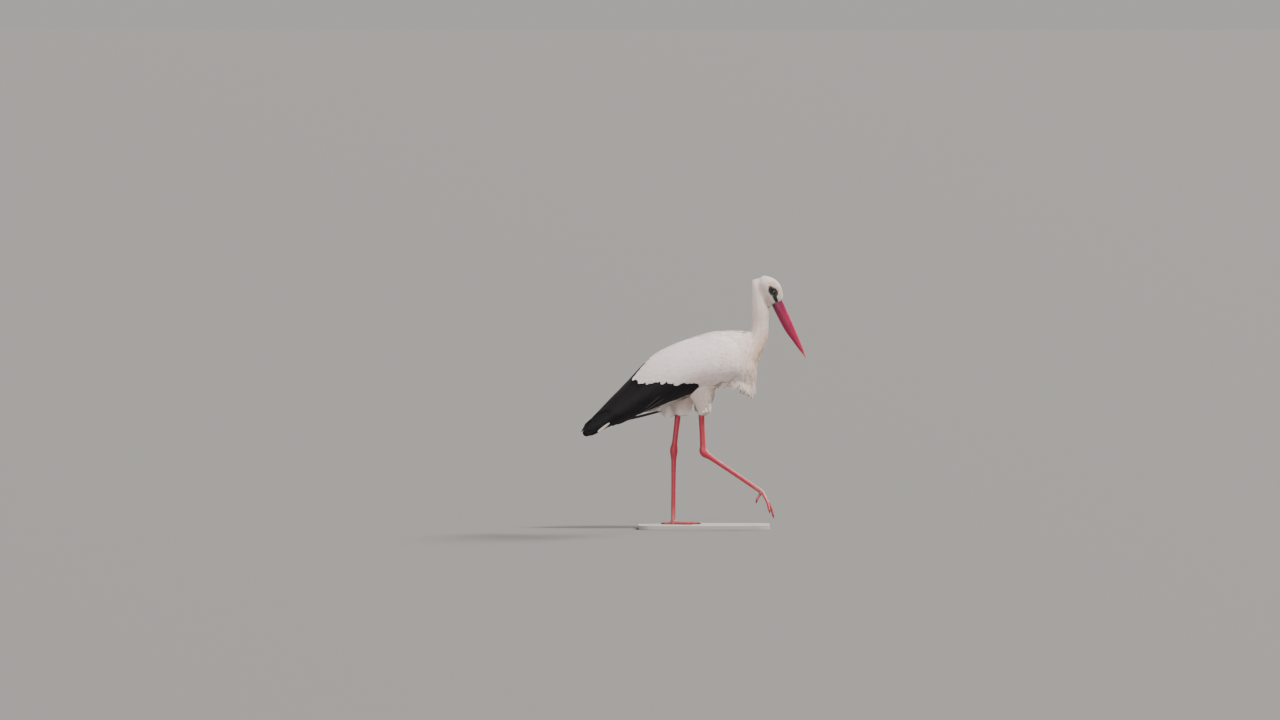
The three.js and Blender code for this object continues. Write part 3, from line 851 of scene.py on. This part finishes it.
def hanging_batch(roots, normals, flow, length, widths, lifts, hangs, steps=6, spread=0.05):
    """Soft feathers of the body, which hang straight down from where hangs(points) is true."""
    tint = white_tint(roots, spread)
    width, lift = (RANDOM.uniform(*bounds, len(roots)) for bounds in (widths, lifts))
    return feather_batch(torso_surface, roots, normals, flow, tint, length, width, steps, lift, hangs,
                         shape=POINTED_TIP)


def falling(count, lean, spread):
    return np.tile([lean, 0, -1.0], (count, 1)) + RANDOM.normal(0, spread, (count, 3))


def vent_batch():
    """The loose fluff that hangs behind the legs."""
    roots, normals = torso_surface.scatter(3.6, box_place((-142, -28), (-60, 60), (0, 392)))
    flow = falling(len(roots), -0.3, 0.12)
    length = np.clip(above_hem(roots), 8, 40) * RANDOM.uniform(0.75, 1.05, len(roots))
    return hanging_batch(roots, normals, flow, length, SOFT_WIDTH, (-0.4, 2.0), below(362))


def belly_batch():
    """The soft feathers that hang between the legs."""
    roots, normals = torso_surface.scatter(3.2, box_place((-42, 20), (-40, 40), (0, 394)))
    hem = on_line(BELLY_HEM, roots[:, 0]) + RANDOM.uniform(-3, 5, len(roots))
    flow = falling(len(roots), -0.05, 0.1)
    length = np.clip(roots[:, 2] - hem, 9, 46)
    return hanging_batch(roots, normals, flow, length, SOFT_WIDTH, (-0.4, 1.5), below(374))


def trouser_batch():
    """The longer feathers down the front of the raised leg's thigh."""
    roots, normals = torso_surface.scatter(3.0, box_place((30, 58), (-66, -18), (350, 415)))
    flow = falling(len(roots), -0.02, 0.07)
    length = np.clip(roots[:, 2] - TROUSER_HEM - RANDOM.uniform(0, 6, len(roots)), 9, 42)
    return hanging_batch(roots, normals, flow, length, SOFT_WIDTH, (-0.4, 1.2), below(388))


ALL_HEIGHTS, THIGHS, ABOVE_THIGHS = (-math.inf, math.inf), (-math.inf, 430), (430, math.inf)
# The bands of body feathers: their piece, the surface they lie on, the spacing of their roots, from where to
# where along the spine and up the body, and how they are made.
BANDS = [
    ("head_feathers", body_surface, 1.4, (0, 70), ALL_HEIGHTS, {"steps": 3}),
    ("head_feathers", body_surface, 1.9, (70, 150), ALL_HEIGHTS, {"steps": 3}),
    ("neck_feathers", body_surface, 2.5, (150, 270), ALL_HEIGHTS, {"steps": 4, "longer": 1.1, "wider": 1.15}),
    ("neck_feathers", torso_surface, 3.6, (270, 380), ALL_HEIGHTS, {"steps": 5, "longer": 1.1, "wider": 1.2}),
    ("body_feathers", torso_surface, 5.0, (380, 1400), ABOVE_THIGHS, {"steps": 5, "shape": ROUND_TIP}),
    ("thigh_feathers", torso_surface, 3.3, (380, 1400), THIGHS,
     {"steps": 5, "longer": 0.62, "wider": 0.5, "wobble": 0.2, "hangs": below(350)}),
]


def make_body_plumage():
    pieces = {}
    for name, surface, spacing, reaches, heights, look in BANDS:
        batch = body_batch(surface, spacing, band_place(reaches, heights), **look)
        pieces.setdefault(name, []).append(batch)
    pieces["thigh_feathers"] += [vent_batch(), belly_batch(), trouser_batch()]
    for name, batches in pieces.items():
        add_coat(name, batches, white_feathers)


make_body_plumage()

# ---------- the ruff: long plumes that hang from the breast ----------
# How low the plumes' tips hang: x and z.
RUFF_HEM = [(68, 440), (80, 434), (84, 420), (94, 400), (103, 408), (111, 425), (122, 412), (131, 398),
            (137, 401), (144, 417), (151, 392), (157, 401), (166, 392), (180, 381), (186, 391), (193, 407),
            (200, 421)]
RUFF_FREE = [(140, 446), (165, 450)]  # x and the height below which the plumes hang free
LOCK_SIZE, LOCKS = 12.0, 16


def ruff_batch(spacing, top, widths):
    def keep(points):
        x, y, z = points.T
        low = np.where(x < 145, on_line([(84, 429), (92, 435)], x), on_line(RUFF_HEM, x) + 13)
        return (x > 68) & (np.abs(y) < 68) & (z < top) & (z > low) & ~covered(points)

    roots, normals = torso_surface.scatter(spacing, keep)
    count = len(roots)
    lock = np.floor(roots[:, :2] / LOCK_SIZE).astype(int) % LOCKS
    hem = on_line(RUFF_HEM, roots[:, 0]) + np.abs(roots[:, 1]) * 0.2
    hem += RANDOM.uniform(-3, 4, (LOCKS, LOCKS))[lock[:, 0], lock[:, 1]] + RANDOM.uniform(-2, 5, count)
    length = np.clip(roots[:, 2] - hem, 9, 76) * RANDOM.uniform(0.88, 1.04, count)
    flow = wavered(body_flow(roots) * 0.35 + np.array([-0.02, 0, -1.0]), normals, 0.09)
    return hanging_batch(roots, normals, flow, length, widths, (-0.5, 1.4),
                         lambda p: p[:, 2] < on_line(RUFF_FREE, p[:, 0]), steps=7, spread=0.07)


add_coat("breast_plume_vanes", [ruff_batch(3.6, 545, (4.6, 7.4)), ruff_batch(2.6, 456, (3.2, 5.2))],
         white_feathers, ["breast_plumes"])

# ---------- wings ----------
COVERT_LENGTH = [(-180, 64), (-60, 54), (60, 42), (150, 26)]
COVERT_WIDTH = [(-180, 19), (-60, 16), (60, 12), (150, 7)]
COVERT_WHITE = np.array([0.98, 0.97, 1.02])  # the coverts' white beside the body's
UNDER_LENGTH = [(-340, 14), (-300, 40), (-200, 70), (0, 62)]
UNDER_WIDTH = 20.0
# Rows of long feathers on each wing, from the first feather to the last. A root or a tip is x and the height
# where it lies on the wing's outer face, or, where the row says so, x and the angle round the wing. sunk is
# how deep they lie at root and tip, and sag how far the middle of the row's tips hangs below a straight line.
FLIGHT_ROWS = {
    "primaries": {"count": 10, "roots": [(-190, 418), (-70, 396)], "tips": [(-345, 287), (-232, 305)],
                  "width": 23, "sunk": (7.0, 1.6)},
    "secondaries": {"count": 19, "roots": [(-90, 432), (66, 440)], "tips": [(-246, 300), (-10, 403)],
                    "width": 25, "sunk": (6.5, 0.7), "sag": -2},
    "tertials": {"count": 10, "roots": [(-70, 86), (-60, 16)], "tips": [(-312, 84), (-232, -12)],
                 "width": 30, "sunk": (5.0, 0.5), "by_angle": True},
    "greater_coverts": {"count": 18, "roots": [(-110, 470), (72, 446)], "tips": [(-226, 366), (-2, 411)],
                        "width": 18, "sunk": (4.5, 0.3), "sag": 5},
}
FLIGHT_STEPS = 16
LONE_ROWS = 16
LOOSE_ENDS = np.array([[-97.0, 49, 347], [-228, 37, 315]])  # the lowest secondary, which hangs a little clear
# Painted sheen along the edges of two secondaries, drawn as thin grey vanes, from x and height to x and
# height.
SHEEN_LINES = [((-102, 394), (-147, 356)), ((-90, 386), (-154, 343))]
SHEEN_GREY = np.array([0.07, 0.065, 0.07])


def covert_batch(side, spacing, keep, tint, length, width, sunk, lift, wobble=0.07, steps=5):
    roots, normals = wings.scatter(spacing, lambda p: (p[:, 1] * side > 0) & keep(p))
    count = len(roots)
    length, width = (size(roots) * RANDOM.uniform(0.9, 1.1, count) for size in (length, width))
    flow = wavered(wing_flow(roots), normals, wobble)
    spines, outs = march(wings, roots, normals, flow, length, steps)
    spines = raised(spines, outs, sunk, RANDOM.uniform(*lift, count))
    return {"spines": spines, "outs": outs, "width": width, "tint": tint(roots)}


def covert_length(points):
    return on_line(COVERT_LENGTH, points[:, 0])


def white_place(points):
    tips = points + wing_flow(points) * covert_length(points)[:, None]
    return is_wing(points) & (black_depth(tips) < -1)


def white_covert_batch(side):
    return covert_batch(side, 5.2, white_place, lambda roots: white_tint(roots, 0.04) * COVERT_WHITE,
                        covert_length, lambda p: on_line(COVERT_WIDTH, p[:, 0]), 3.0, (-0.25, 0.35))


def covert_edge_batch(side):
    """The last row of white coverts, whose round tips scallop the edge of the black."""
    line = smooth_rows(COVERT_EDGE, 400)
    travel = travelled(line)
    places = np.arange(0, travel[-1], 12.5)
    places = places + RANDOM.uniform(-4, 4, len(places))
    low = np.stack([np.interp(places, travel, line[:, k]) for k in (0, 1)], 1)
    rear = between(np.array(BLACK_LOW), np.array(BLACK_TOP), np.linspace(0, 1, 9)[:, None])
    tips = np.concatenate([low, rear])
    tips = tips + RANDOM.uniform(-1, 1, tips.shape) * [3.5, 6.0]
    points = wing_point(tips[:, 0], wing_angle(tips[:, 0], tips[:, 1]), side)
    onward = np.array([0, 0, 0.25]) - wing_flow(points)
    spots, normals = wings.snap(points)
    spines, outs = march(wings, spots, normals, onward, RANDOM.uniform(42, 52, len(tips)), 6)
    spines, outs = spines[::-1], outs[::-1]
    spines = raised(spines, outs, 3.0, RANDOM.uniform(0.3, 0.9, len(tips)))
    width = RANDOM.uniform(13, 19, len(tips))
    return {"spines": spines, "outs": outs, "width": width, "tint": white_tint(spines[0], 0.03)}


def black_place(points):
    x = points[:, 0]
    return (x < 14) & (x > -318) & (black_depth(points) > -16) & (above_wing_edge(points) > 17)


def under_length(points):
    """How long the lowest black row may be, so that it ends above the wing's lower edge."""
    room = np.maximum((above_wing_edge(points) - 10) * 2.4, 14)
    return np.minimum(on_line(UNDER_LENGTH, points[:, 0]), room)


def under_batch(side):
    """The row that lies under the long black feathers, so that no skin shows between them."""
    return covert_batch(side, 9.0, black_place, lambda roots: black_tint(len(roots)), under_length,
                        lambda p: UNDER_WIDTH, 6.5, (-4.2, -3.2), 0.04)


def flight_batch(row, side):
    """One row of long feathers, spread evenly from its first to its last."""
    count = row["count"]
    share = np.linspace(0, 1, count)[:, None]
    jitter = RANDOM.uniform(-1, 1, (count, 2)) * [3.0, 1.2]
    roots, tips = (between(*np.array(row[key], float), share) for key in ("roots", "tips"))
    tips = tips + jitter
    tips[:, 1] -= row.get("sag", 0) * np.sin(np.pi * share[:, 0])
    along = np.linspace(0, 1, FLIGHT_STEPS + 1)[:, None, None]
    path = between(roots, tips, along)
    x = path[..., 0]
    angle = path[..., 1] if row.get("by_angle") else wing_angle(x, path[..., 1])
    spines = wing_point(x, angle, side)
    around = wing_point(x, angle + 2, side) - wing_point(x, angle - 2, side)
    outs = unit(np.cross(np.gradient(spines, axis=0), around))
    turn = np.radians(angle)
    outward = np.stack([np.zeros_like(turn), side * np.cos(turn), np.sin(turn)], -1)
    outs = outs * np.sign((outs * outward).sum(-1, keepdims=True))
    sunk = between(*row["sunk"], along[..., 0] ** 2) + np.linspace(1.4, 0, count)
    width = row["width"] * RANDOM.uniform(0.94, 1.06, count)
    spines = spines - outs * sunk[..., None]
    return {"spines": spines, "outs": outs, "width": width, "tint": black_tint(count), "camber": 0.1,
            **LONG_LOOK}


def single_vane(spine, out, lift, width, tint, camber):
    outs = np.tile(unit(np.array(out)), (len(spine), 1, 1))
    return {"spines": spine[:, None] + outs * lift, "outs": outs, "width": np.array([width]), "tint": tint,
            "camber": camber, **LONG_LOOK}


def lone_vane(ends, side, width, tint):
    """One narrow feather on the wing's outer face, from one place given as x and height to another."""
    x, z = between(*np.array(ends, float), np.linspace(0, 1, LONE_ROWS)[:, None]).T
    return single_vane(wing_point(x, wing_angle(x, z), side), (0.0, side, -0.25), 0.5, width, tint, 0.06)


def loose_vane(side):
    share = np.linspace(0, 1, LONE_ROWS)[:, None]
    spine = between(*LOOSE_ENDS, share) - UP * np.sin(np.pi * share)
    return single_vane(spine * [1, side, 1], (0.0, side, -0.1), 0.0, 5.0, black_tint(1), 0.1)


for wing_side, wing_name in ((1, "left"), (-1, "right")):
    add_coat(f"white_coverts_{wing_name}", [white_covert_batch(wing_side), covert_edge_batch(wing_side)],
             white_feathers)
    black_batches = [under_batch(wing_side)]
    black_batches += [flight_batch(flight_row, wing_side) for flight_row in FLIGHT_ROWS.values()]
    black_batches.append(loose_vane(wing_side))
    # two thin grey vanes of painted sheen along the edges of two secondaries
    black_batches += [lone_vane(ends, wing_side, 2.0, SHEEN_GREY[None]) for ends in SHEEN_LINES]
    add_coat(f"black_feathers_{wing_name}", black_batches, black_feathers,
             [f"wing_secondaries_{wing_name}", f"wing_primaries_{wing_name}"])

# ---------- tail ----------
TAIL = [[-150, 0, 392, 22, 30], [-195, 0, 362, 14, 34], [-245, 0, 322, 6, 37], [-300, 0, 278, 1.6, 38]]
TAIL_COVERT_LENGTH = [(-262, 34), (-200, 62), (-160, 58)]
RECTRICES, RECTRIX_ROWS = 12, 16
TAIL_EDGE = ((-256, 311), (-292, 283))  # the white edge that shows between the wing's tips: x and z


def tail_covert_batch(rows):
    surface = tube_surface(limb_rings(rows, 28), rows[:, :3].mean(0))
    roots, normals = surface.scatter(
        7.5, lambda p: (p[:, 0] < -165) & (p[:, 0] > -250) & (np.abs(p[:, 1]) < 17))
    count = len(roots)
    length = on_line(TAIL_COVERT_LENGTH, roots[:, 0]) * RANDOM.uniform(0.9, 1.1, count)
    flow = np.tile(unit(np.array([-0.78, 0, -0.62])), (count, 1))
    spines, outs = march(surface, roots, normals, flow, length, 6)
    spines = raised(spines, outs, 2.5, RANDOM.uniform(-0.4, 0.6, count))
    return {"spines": spines, "outs": outs, "width": RANDOM.uniform(11, 15, count), "tint": white_tint(roots)}


def rectrix_batch(rows):
    """The long feathers of the tail, side by side."""
    places = np.linspace(-1, 1, RECTRICES)
    along = np.linspace(0, 1, RECTRIX_ROWS)[:, None]
    x = -160 - (142 - 8 * np.abs(places)) * along
    z = np.interp(x, rows[::-1, 0], rows[::-1, 2]) + 1.5 - 3.2 * np.abs(places)
    spines = np.stack([x, places * (13 - along), z], -1)
    outs = np.tile(unit(np.array([-0.62, 0, 0.78])), (RECTRIX_ROWS, RECTRICES, 1))
    return {"spines": spines, "outs": outs, "width": np.full(RECTRICES, 24.0), "tint": white_tint(spines[0]),
            "camber": 0.06, **LONG_LOOK}


def make_tail():
    rows = smooth_rows(TAIL, 40)
    batches = [tail_covert_batch(rows), rectrix_batch(rows)]
    x, z = TAIL_EDGE[0]
    batches += [lone_vane(TAIL_EDGE, side, 7.5, white_tint(np.array([[x, 0.0, z]]))) for side in (1, -1)]
    add_coat("tail_feathers", batches, white_feathers, ["tail"])


make_tail()

# ---------- bill ----------
NOSTRIL = {"at": 33.0, "up": 5.0, "length": 9.0, "height": 1.1, "depth": 1.4}
# The bill's colour by the way along it from its base.
BILL_COLOURS = {
    -16: (0.13, 0.002, 0.035), 0: (0.17, 0.002, 0.045), 40: (0.31, 0.001, 0.060), 120: (0.38, 0.001, 0.062),
    165: (0.44, 0.010, 0.062), 180: (0.52, 0.13, 0.12), 190: (0.60, 0.30, 0.27),
}


def bill_colour(along):
    channels = zip(*BILL_COLOURS.values())
    return np.stack([np.interp(along, list(BILL_COLOURS), channel) for channel in channels], -1)


def bill_half(name, upper):
    """One half of the bill: an arch over a nearly flat face that lies just off the mouth's line."""
    along, top, bottom, half = smooth_rows(BILL, 120).T[..., None]
    mouth = -7 + 5 * (along + 10) / (BILL_LENGTH + 10)
    turn, inner = np.linspace(0, np.pi, 40), np.linspace(-1, 1, 9)[1:-1]
    across = np.append(np.cos(turn) * (1 + 0.06 * np.sin(turn) ** 2), inner * 0.96)
    arch = np.append(np.sin(turn) ** 0.92, np.zeros(len(inner)))
    gap = np.append(np.full(len(turn), 0.12), np.full(len(inner), 0.62))
    up = mouth + (top - mouth) * arch + gap if upper else mouth - (mouth - bottom) * arch - gap
    side = half * across * (1.0 if upper else 0.95)
    along = np.broadcast_to(along, up.shape)
    tint = bill_colour(along)
    if upper:
        off = ((along - NOSTRIL["at"]) / NOSTRIL["length"]) ** 2
        off = off + ((up - NOSTRIL["up"]) / NOSTRIL["height"]) ** 2
        slit = np.exp(-off * 1.6) * (np.abs(side) > 3)
        side = side - np.sign(side) * NOSTRIL["depth"] * slit
        # the nostril painted darker, as painted shade in its slit
        tint = tint * (1 - 0.85 * slit)[..., None]
    else:
        # the lower half painted darker all along, as painted shade on its underside
        tint = tint * 0.8
    tint = np.concatenate([tint[:1], tint, tint[-1:]]).reshape(-1, 3)
    mesh = closed_mesh(f"{name}_mandible", *tube_grid(head_point(-along, up, side)), tint)
    add_piece(f"{name}_mandible", mesh, bill_horn, [f"bill_{name}"])


bill_half("upper", True)
bill_half("lower", False)

# ---------- eyes and the bare skin round them ----------
PUPIL, IRIS_EDGE, RIM = 2.9, 4.5, 5.6  # distances from the middle of the eye
IRIS = np.array([0.010, 0.004, 0.0025])
LID = {"opening": (5.7, 4.9), "outer": 12.5, "rows": 14, "turns": 72}
LORES_ROWS, LORES_COLUMNS = 46, 15
# A painted highlight on the bare skin under the eye, by the way back from the bill's base and up: its place,
# size and colour.
UNDER_EYE_HIGHLIGHT = {"along": 28, "up": -4.5, "length": 4.5, "height": 3.0, "rgb": np.array([0.20, 0.215, 0.25])}


def make_eye(side, name):
    rows = np.linspace(0.02, np.pi - 0.02, 40)
    turn = np.linspace(0, 2 * np.pi, 48, endpoint=False)
    out = np.cos(rows) * EYE["radius"] * (1 + 0.06 * np.exp(-((rows / 0.55) ** 2)))
    ring = (np.sin(rows) * EYE["radius"])[:, None]
    local = np.stack(np.broadcast_arrays(ring * np.cos(turn), out[:, None] * side, ring * np.sin(turn)), -1)
    back = np.concatenate([rows[:1], rows, rows[-1:]])[:, None]
    away = np.sin(back) * EYE["radius"]
    tint = np.where(away < PUPIL, 0.003, IRIS * (0.6 + 0.5 * smoothstep(PUPIL, IRIS_EDGE, away)))
    tint = np.where((away > RIM) | (back >= 1.4), 0.01, tint)
    mesh = closed_mesh(f"eyeball_{name}", *tube_grid(local + eye_middle(side)), np.repeat(tint, 48, axis=0))
    add_piece(f"eyeball_{name}", mesh, eye_gloss, [f"eye_{name}"])


def lid_arrays(side):
    """Two soft folds from the lid's margin on the eyeball out to the face."""
    middle = eye_middle(side)
    turn = np.linspace(0, 2 * np.pi, LID["turns"], endpoint=False)
    outward = np.cos(turn)[:, None] * BACK + np.sin(turn)[:, None] * CROWN
    margin = np.hypot(LID["opening"][0] * np.cos(turn), LID["opening"][1] * np.sin(turn))
    rings = []
    for share in np.linspace(0, 1, LID["rows"]):
        radius = between(margin, LID["outer"], share)
        flat = middle + outward * radius[:, None]
        on_face = body_surface.snap(flat + side * SIDE * PROBE)[0]
        on_ball = math.sqrt(max(EYE["radius"] ** 2 - min(radius.mean(), 7.5) ** 2, 0))
        proud = flat + side * SIDE * (on_ball + 0.75)
        fold = 0.35 * math.exp(-((share - 0.16) / 0.1) ** 2) + 0.2 * math.exp(-((share - 0.45) / 0.12) ** 2)
        spot = between(proud, on_face, smoothstep(0.1, 0.85, share))
        rings.append(spot + side * SIDE * (fold + 0.3 - 1.2 * (share > 0.97)))
    grid = np.array([rings[0] - side * SIDE * 1.6, *rings])
    quads = grid_quads(len(grid), LID["turns"], closed=True)
    return grid.reshape(-1, 3), quads[:, ::-1] if side > 0 else quads


def lores_arrays(side):
    """The strip of bare skin from the bill's base to the eye."""
    along = np.linspace(-5, EYE["along"] + 1, LORES_ROWS)[:, None]
    across = np.broadcast_to(np.linspace(-1, 1, LORES_COLUMNS), (LORES_ROWS, LORES_COLUMNS)).ravel()
    along = np.repeat(along, LORES_COLUMNS)
    up = on_line(LORES_MIDDLE, along) + across * on_line(LORES_HALF, along)
    spots, normals = body_surface.snap(head_point(along, up, np.full(len(up), side * 34.0)))
    spots = spots + normals * (0.55 - 1.8 * smoothstep(0.75, 1.0, np.abs(across)))[:, None]
    return spots, grid_quads(LORES_ROWS, LORES_COLUMNS)


def make_face():
    points, quads, first = [], [], 0
    for side in (1, -1):
        for spots, faces in (lid_arrays(side), lores_arrays(side)):
            points.append(spots)
            quads.append(faces + first)
            first += len(spots)
    points = np.concatenate(points)
    along, up = head_place(points)
    # the black face skin, with the painted highlight under each eye
    off = ((along - UNDER_EYE_HIGHLIGHT["along"]) / UNDER_EYE_HIGHLIGHT["length"]) ** 2
    off = off + ((up - UNDER_EYE_HIGHLIGHT["up"]) / UNDER_EYE_HIGHLIGHT["height"]) ** 2
    tint = FACE_BLACK + UNDER_EYE_HIGHLIGHT["rgb"] * np.exp(-off)[:, None]
    mesh = mesh_of("face_skin", points, np.concatenate(quads), tint)
    add_piece("face_skin", mesh, face_skin)


make_eye(1, "left")
make_eye(-1, "right")
make_face()

# ---------- legs and feet ----------
# Each leg's joints, which way its outer side is, how far its toes and its hind toe turn down, how much they
# curl, and how far their soles lie below the foot's root.
LEGS = {
    "left": {"knee": (-48, 36, 328), "ankle": (-60, 24, 227), "root": (-62, 8, 10), "outward": 1,
             "pitch": 0, "hind": 0, "curl": 0, "fall": 10.0},
    "right": {"knee": (24, -43, 334), "ankle": (29, -41, 221), "root": (208, -34, 100), "outward": -1,
              "pitch": 46, "hind": -38, "curl": 16, "fall": 6.0},
}
# Stations down the shank and the tarsus: share of the way, half depth and half width.
SHANK = [(-0.12, 9.2, 7.8), (0.1, 8.9, 7.4), (0.45, 8.2, 6.6), (0.8, 8.6, 7.0), (0.95, 11.4, 9.8)]
TARSUS = [(0.03, 11.8, 10.0), (0.09, 9.6, 8.0), (0.18, 7.7, 6.0), (0.55, 6.7, 5.3), (0.9, 7.0, 5.9),
          (0.975, 7.5, 6.9), (1.0, 6.2, 5.8), (1.018, 3.0, 2.8)]
CUSHION = [[0, 0, 6.8, 1.5, 1.5], [0, 0, 5.8, 4.4, 4.3], [0.5, 0, 3.6, 6.8, 6.6], [1, 0, 0.5, 8.2, 8.0]]
TOES = {"inner": (62, -30), "middle": (78, 0), "outer": (68, 31), "hind": (30, 172)}  # length and heading
TOE_RADIUS = 4.9
TOE_JOINT = 22  # about how far apart a toe's joints are
CLAW_LENGTH, CLAW_RADIUS, CLAW_TIP = 10.0, 2.9, 0.25
SOLE_PRESSED = 0.7
LEG_RED = np.array([0.42, 0.028, 0.055])
DUST = np.array([0.40, 0.17, 0.16])
CLAW_BROWN = np.array([[0.06, 0.035, 0.03]])


def toe_rows(length, heading, fall, curl):
    share = np.linspace(0, 1, 26)
    out, droop = length * share, np.radians(curl * share)
    plain = TOE_RADIUS * (1 - 0.3 * share)
    level = plain - SOLE_PRESSED - fall * (0.55 + 0.45 * np.minimum(share / 0.3, 1))
    joints = max(round(length / TOE_JOINT), 1)
    radius = plain * (1 + 0.07 * np.cos(2 * np.pi * joints * share))
    reach, heading = out * np.cos(droop), math.radians(heading)
    level = level - out * np.sin(droop)
    return np.stack([reach * math.cos(heading), reach * math.sin(heading), level, radius, radius * 1.05], 1)


def claw_rows(rows):
    """A claw that goes on from the end of a toe's rows."""
    last = rows[-1, :3]
    onward = unit(last - rows[-4, :3])
    share = np.linspace(0, 1, 10)
    radius = CLAW_RADIUS * (1 - share**1.4) + CLAW_TIP
    points = last + onward * (CLAW_LENGTH * share)[:, None] - onward * 1.2
    points[:, 2] += np.sin(np.pi * share) - (3.43 - radius) * 0.6
    return np.column_stack([points, radius, radius * 0.85])


def web_rows(first, second, fall):
    """The small web between two toes."""
    low, high = math.radians(TOES[first][1]), math.radians(TOES[second][1])
    heading = (low + high) / 2
    out = np.array([3, 12, 24.0])
    spread = 2 + out * math.sin((high - low) / 2) * 0.8
    x, y = out * math.cos(heading), out * math.sin(heading)
    return np.stack([x, y, np.full(3, 3 - fall), [1.6] * 3, spread], 1)


def placed(rows, leg, turn_down):
    """Rows of a foot, turned down about its root and mirrored to the leg's outer side."""
    rows = np.asarray(rows, float)
    c, s = math.cos(math.radians(turn_down)), math.sin(math.radians(turn_down))
    x, y, z = rows[:, 0], rows[:, 1] * leg["outward"], rows[:, 2]
    root = leg["root"]
    return np.column_stack([x * c + z * s + root[0], y + root[1], z * c - x * s + root[2], rows[:, 3:]])


def limb_mesh(rows, sides):
    return closed_mesh("limb", *tube_grid(limb_rings(rows, sides)))


def leg_rows(leg):
    knee, ankle, root = (np.array(leg[key], float) for key in ("knee", "ankle", "root"))
    stations = [[*between(knee, ankle, share), *half] for share, *half in SHANK]
    stations += [[*between(ankle, root, share), *half] for share, *half in TARSUS]
    return smooth_rows(stations, 90)


def make_leg(name, leg):
    pitch, fall = leg["pitch"], leg["fall"]
    cushion = [*CUSHION, [1.5, 0, -fall - 0.5, 7, 7.6]]
    meshes = [limb_mesh(leg_rows(leg), 24), limb_mesh(placed(cushion, leg, pitch), 20)]
    claws = {}
    for toe, (length, heading) in TOES.items():
        turn_down = leg["hind"] if toe == "hind" else pitch
        rows = toe_rows(length, heading, fall, leg["curl"])
        meshes.append(limb_mesh(placed(rows, leg, turn_down), 16))
        claws[toe] = placed(claw_rows(rows), leg, turn_down)
    for pair in (("inner", "middle"), ("middle", "outer")):
        meshes.append(limb_mesh(placed(web_rows(*pair, fall), leg, pitch), 12))
    mesh = fused(f"leg_{name}", meshes, voxel=1.15, grow=0.0, rounds=3)
    points = points_of(mesh)
    points[:, 2] = np.maximum(points[:, 2], 0.0)
    dusty = smoothstep(60, 0, np.linalg.norm(points - leg["root"], axis=1))[:, None] * 0.55
    redraw(mesh, points, between(LEG_RED, DUST, dusty))
    hidden = [f"{part}_{name}" for part in ("shank", "tarsus", "foot")]
    add_piece(f"leg_{name}", mesh, leg_skin, hidden)
    for toe, rows in claws.items():
        points, quads = tube_grid(limb_rings(rows, 14))
        points[:, 2] = np.maximum(points[:, 2], 0.0)
        claw = closed_mesh(f"nail_{toe}_{name}", points, quads, CLAW_BROWN)
        add_piece(f"nail_{toe}_{name}", claw, claw_horn, [f"claw_{toe}_{name}"])


for leg_name, leg_sizes in LEGS.items():
    make_leg(leg_name, leg_sizes)

base_mesh, = solids(["stand_base"])
base_mesh.materials.clear()
base_mesh.materials.append(stand_paint)

# ---------- floor, light and camera ----------
FLOOR_HALF = 1500.0  # metres
FLOOR_DROP = 0.0005
FRAME_WIDTH = 3.904  # metres across the picture at the bird
DISTANCE = 40.0
ELEVATION = math.radians(1.5)
AIM = Vector(put([-163.2, 0.0, 501.7]))
SENSOR = 36.0
FLOOR_GREY = (0.132, 0.1315, 0.1315)
SKY = {"Color": (1.0, 0.954, 0.909, 1), "Strength": 0.4555}
# Each sun: the way to it, its strength, its width in degrees and its colour.
SUNS = {
    "key": ((0.48, -0.22, 0.85), 5.2, 12, (1.0, 0.95, 0.88)),
    "fill": ((-0.15, -0.95, 0.28), 1.6, 40, (1.0, 0.95, 0.92)),
    "rim": ((0.55, 0.68, 0.48), 3.6, 12, (1.0, 0.96, 0.90)),
}


def make_floor():
    floor = bpy.data.meshes.new("floor")
    corners = [(x * FLOOR_HALF, y * FLOOR_HALF, 0) for x, y in ((-1, -1), (1, -1), (1, 1), (-1, 1))]
    floor.from_pydata(corners, [], [(0, 1, 2, 3)])
    floor.materials.append(Shader("floor_paper", FLOOR_GREY, 0.9).material)
    obj = add_object("floor", floor)
    obj.location.z = -FLOOR_DROP


def make_lights():
    world = bpy.data.worlds.new("studio")
    bpy.context.scene.world = world
    world.use_nodes = True
    for socket, value in SKY.items():
        world.node_tree.nodes["Background"].inputs[socket].default_value = value
    for name, (towards, strength, spread, colour) in SUNS.items():
        light = bpy.data.lights.new(name, "SUN")
        light.energy, light.angle, light.color = strength, math.radians(spread), colour
        obj = add_object(name, light)
        obj.rotation_euler = Vector(towards).to_track_quat("Z", "Y").to_euler()


def make_camera():
    camera = bpy.data.cameras.new("camera")
    camera.sensor_width = SENSOR
    camera.lens = SENSOR * DISTANCE / FRAME_WIDTH
    camera.clip_end = 2000
    obj = add_object("camera", camera)
    away = Vector((0, -math.cos(ELEVATION), math.sin(ELEVATION)))
    obj.location = AIM + away * DISTANCE
    obj.rotation_euler = (-away).to_track_quat("-Z", "Y").to_euler()
    bpy.context.scene.camera = obj


make_floor()
make_lights()
make_camera()
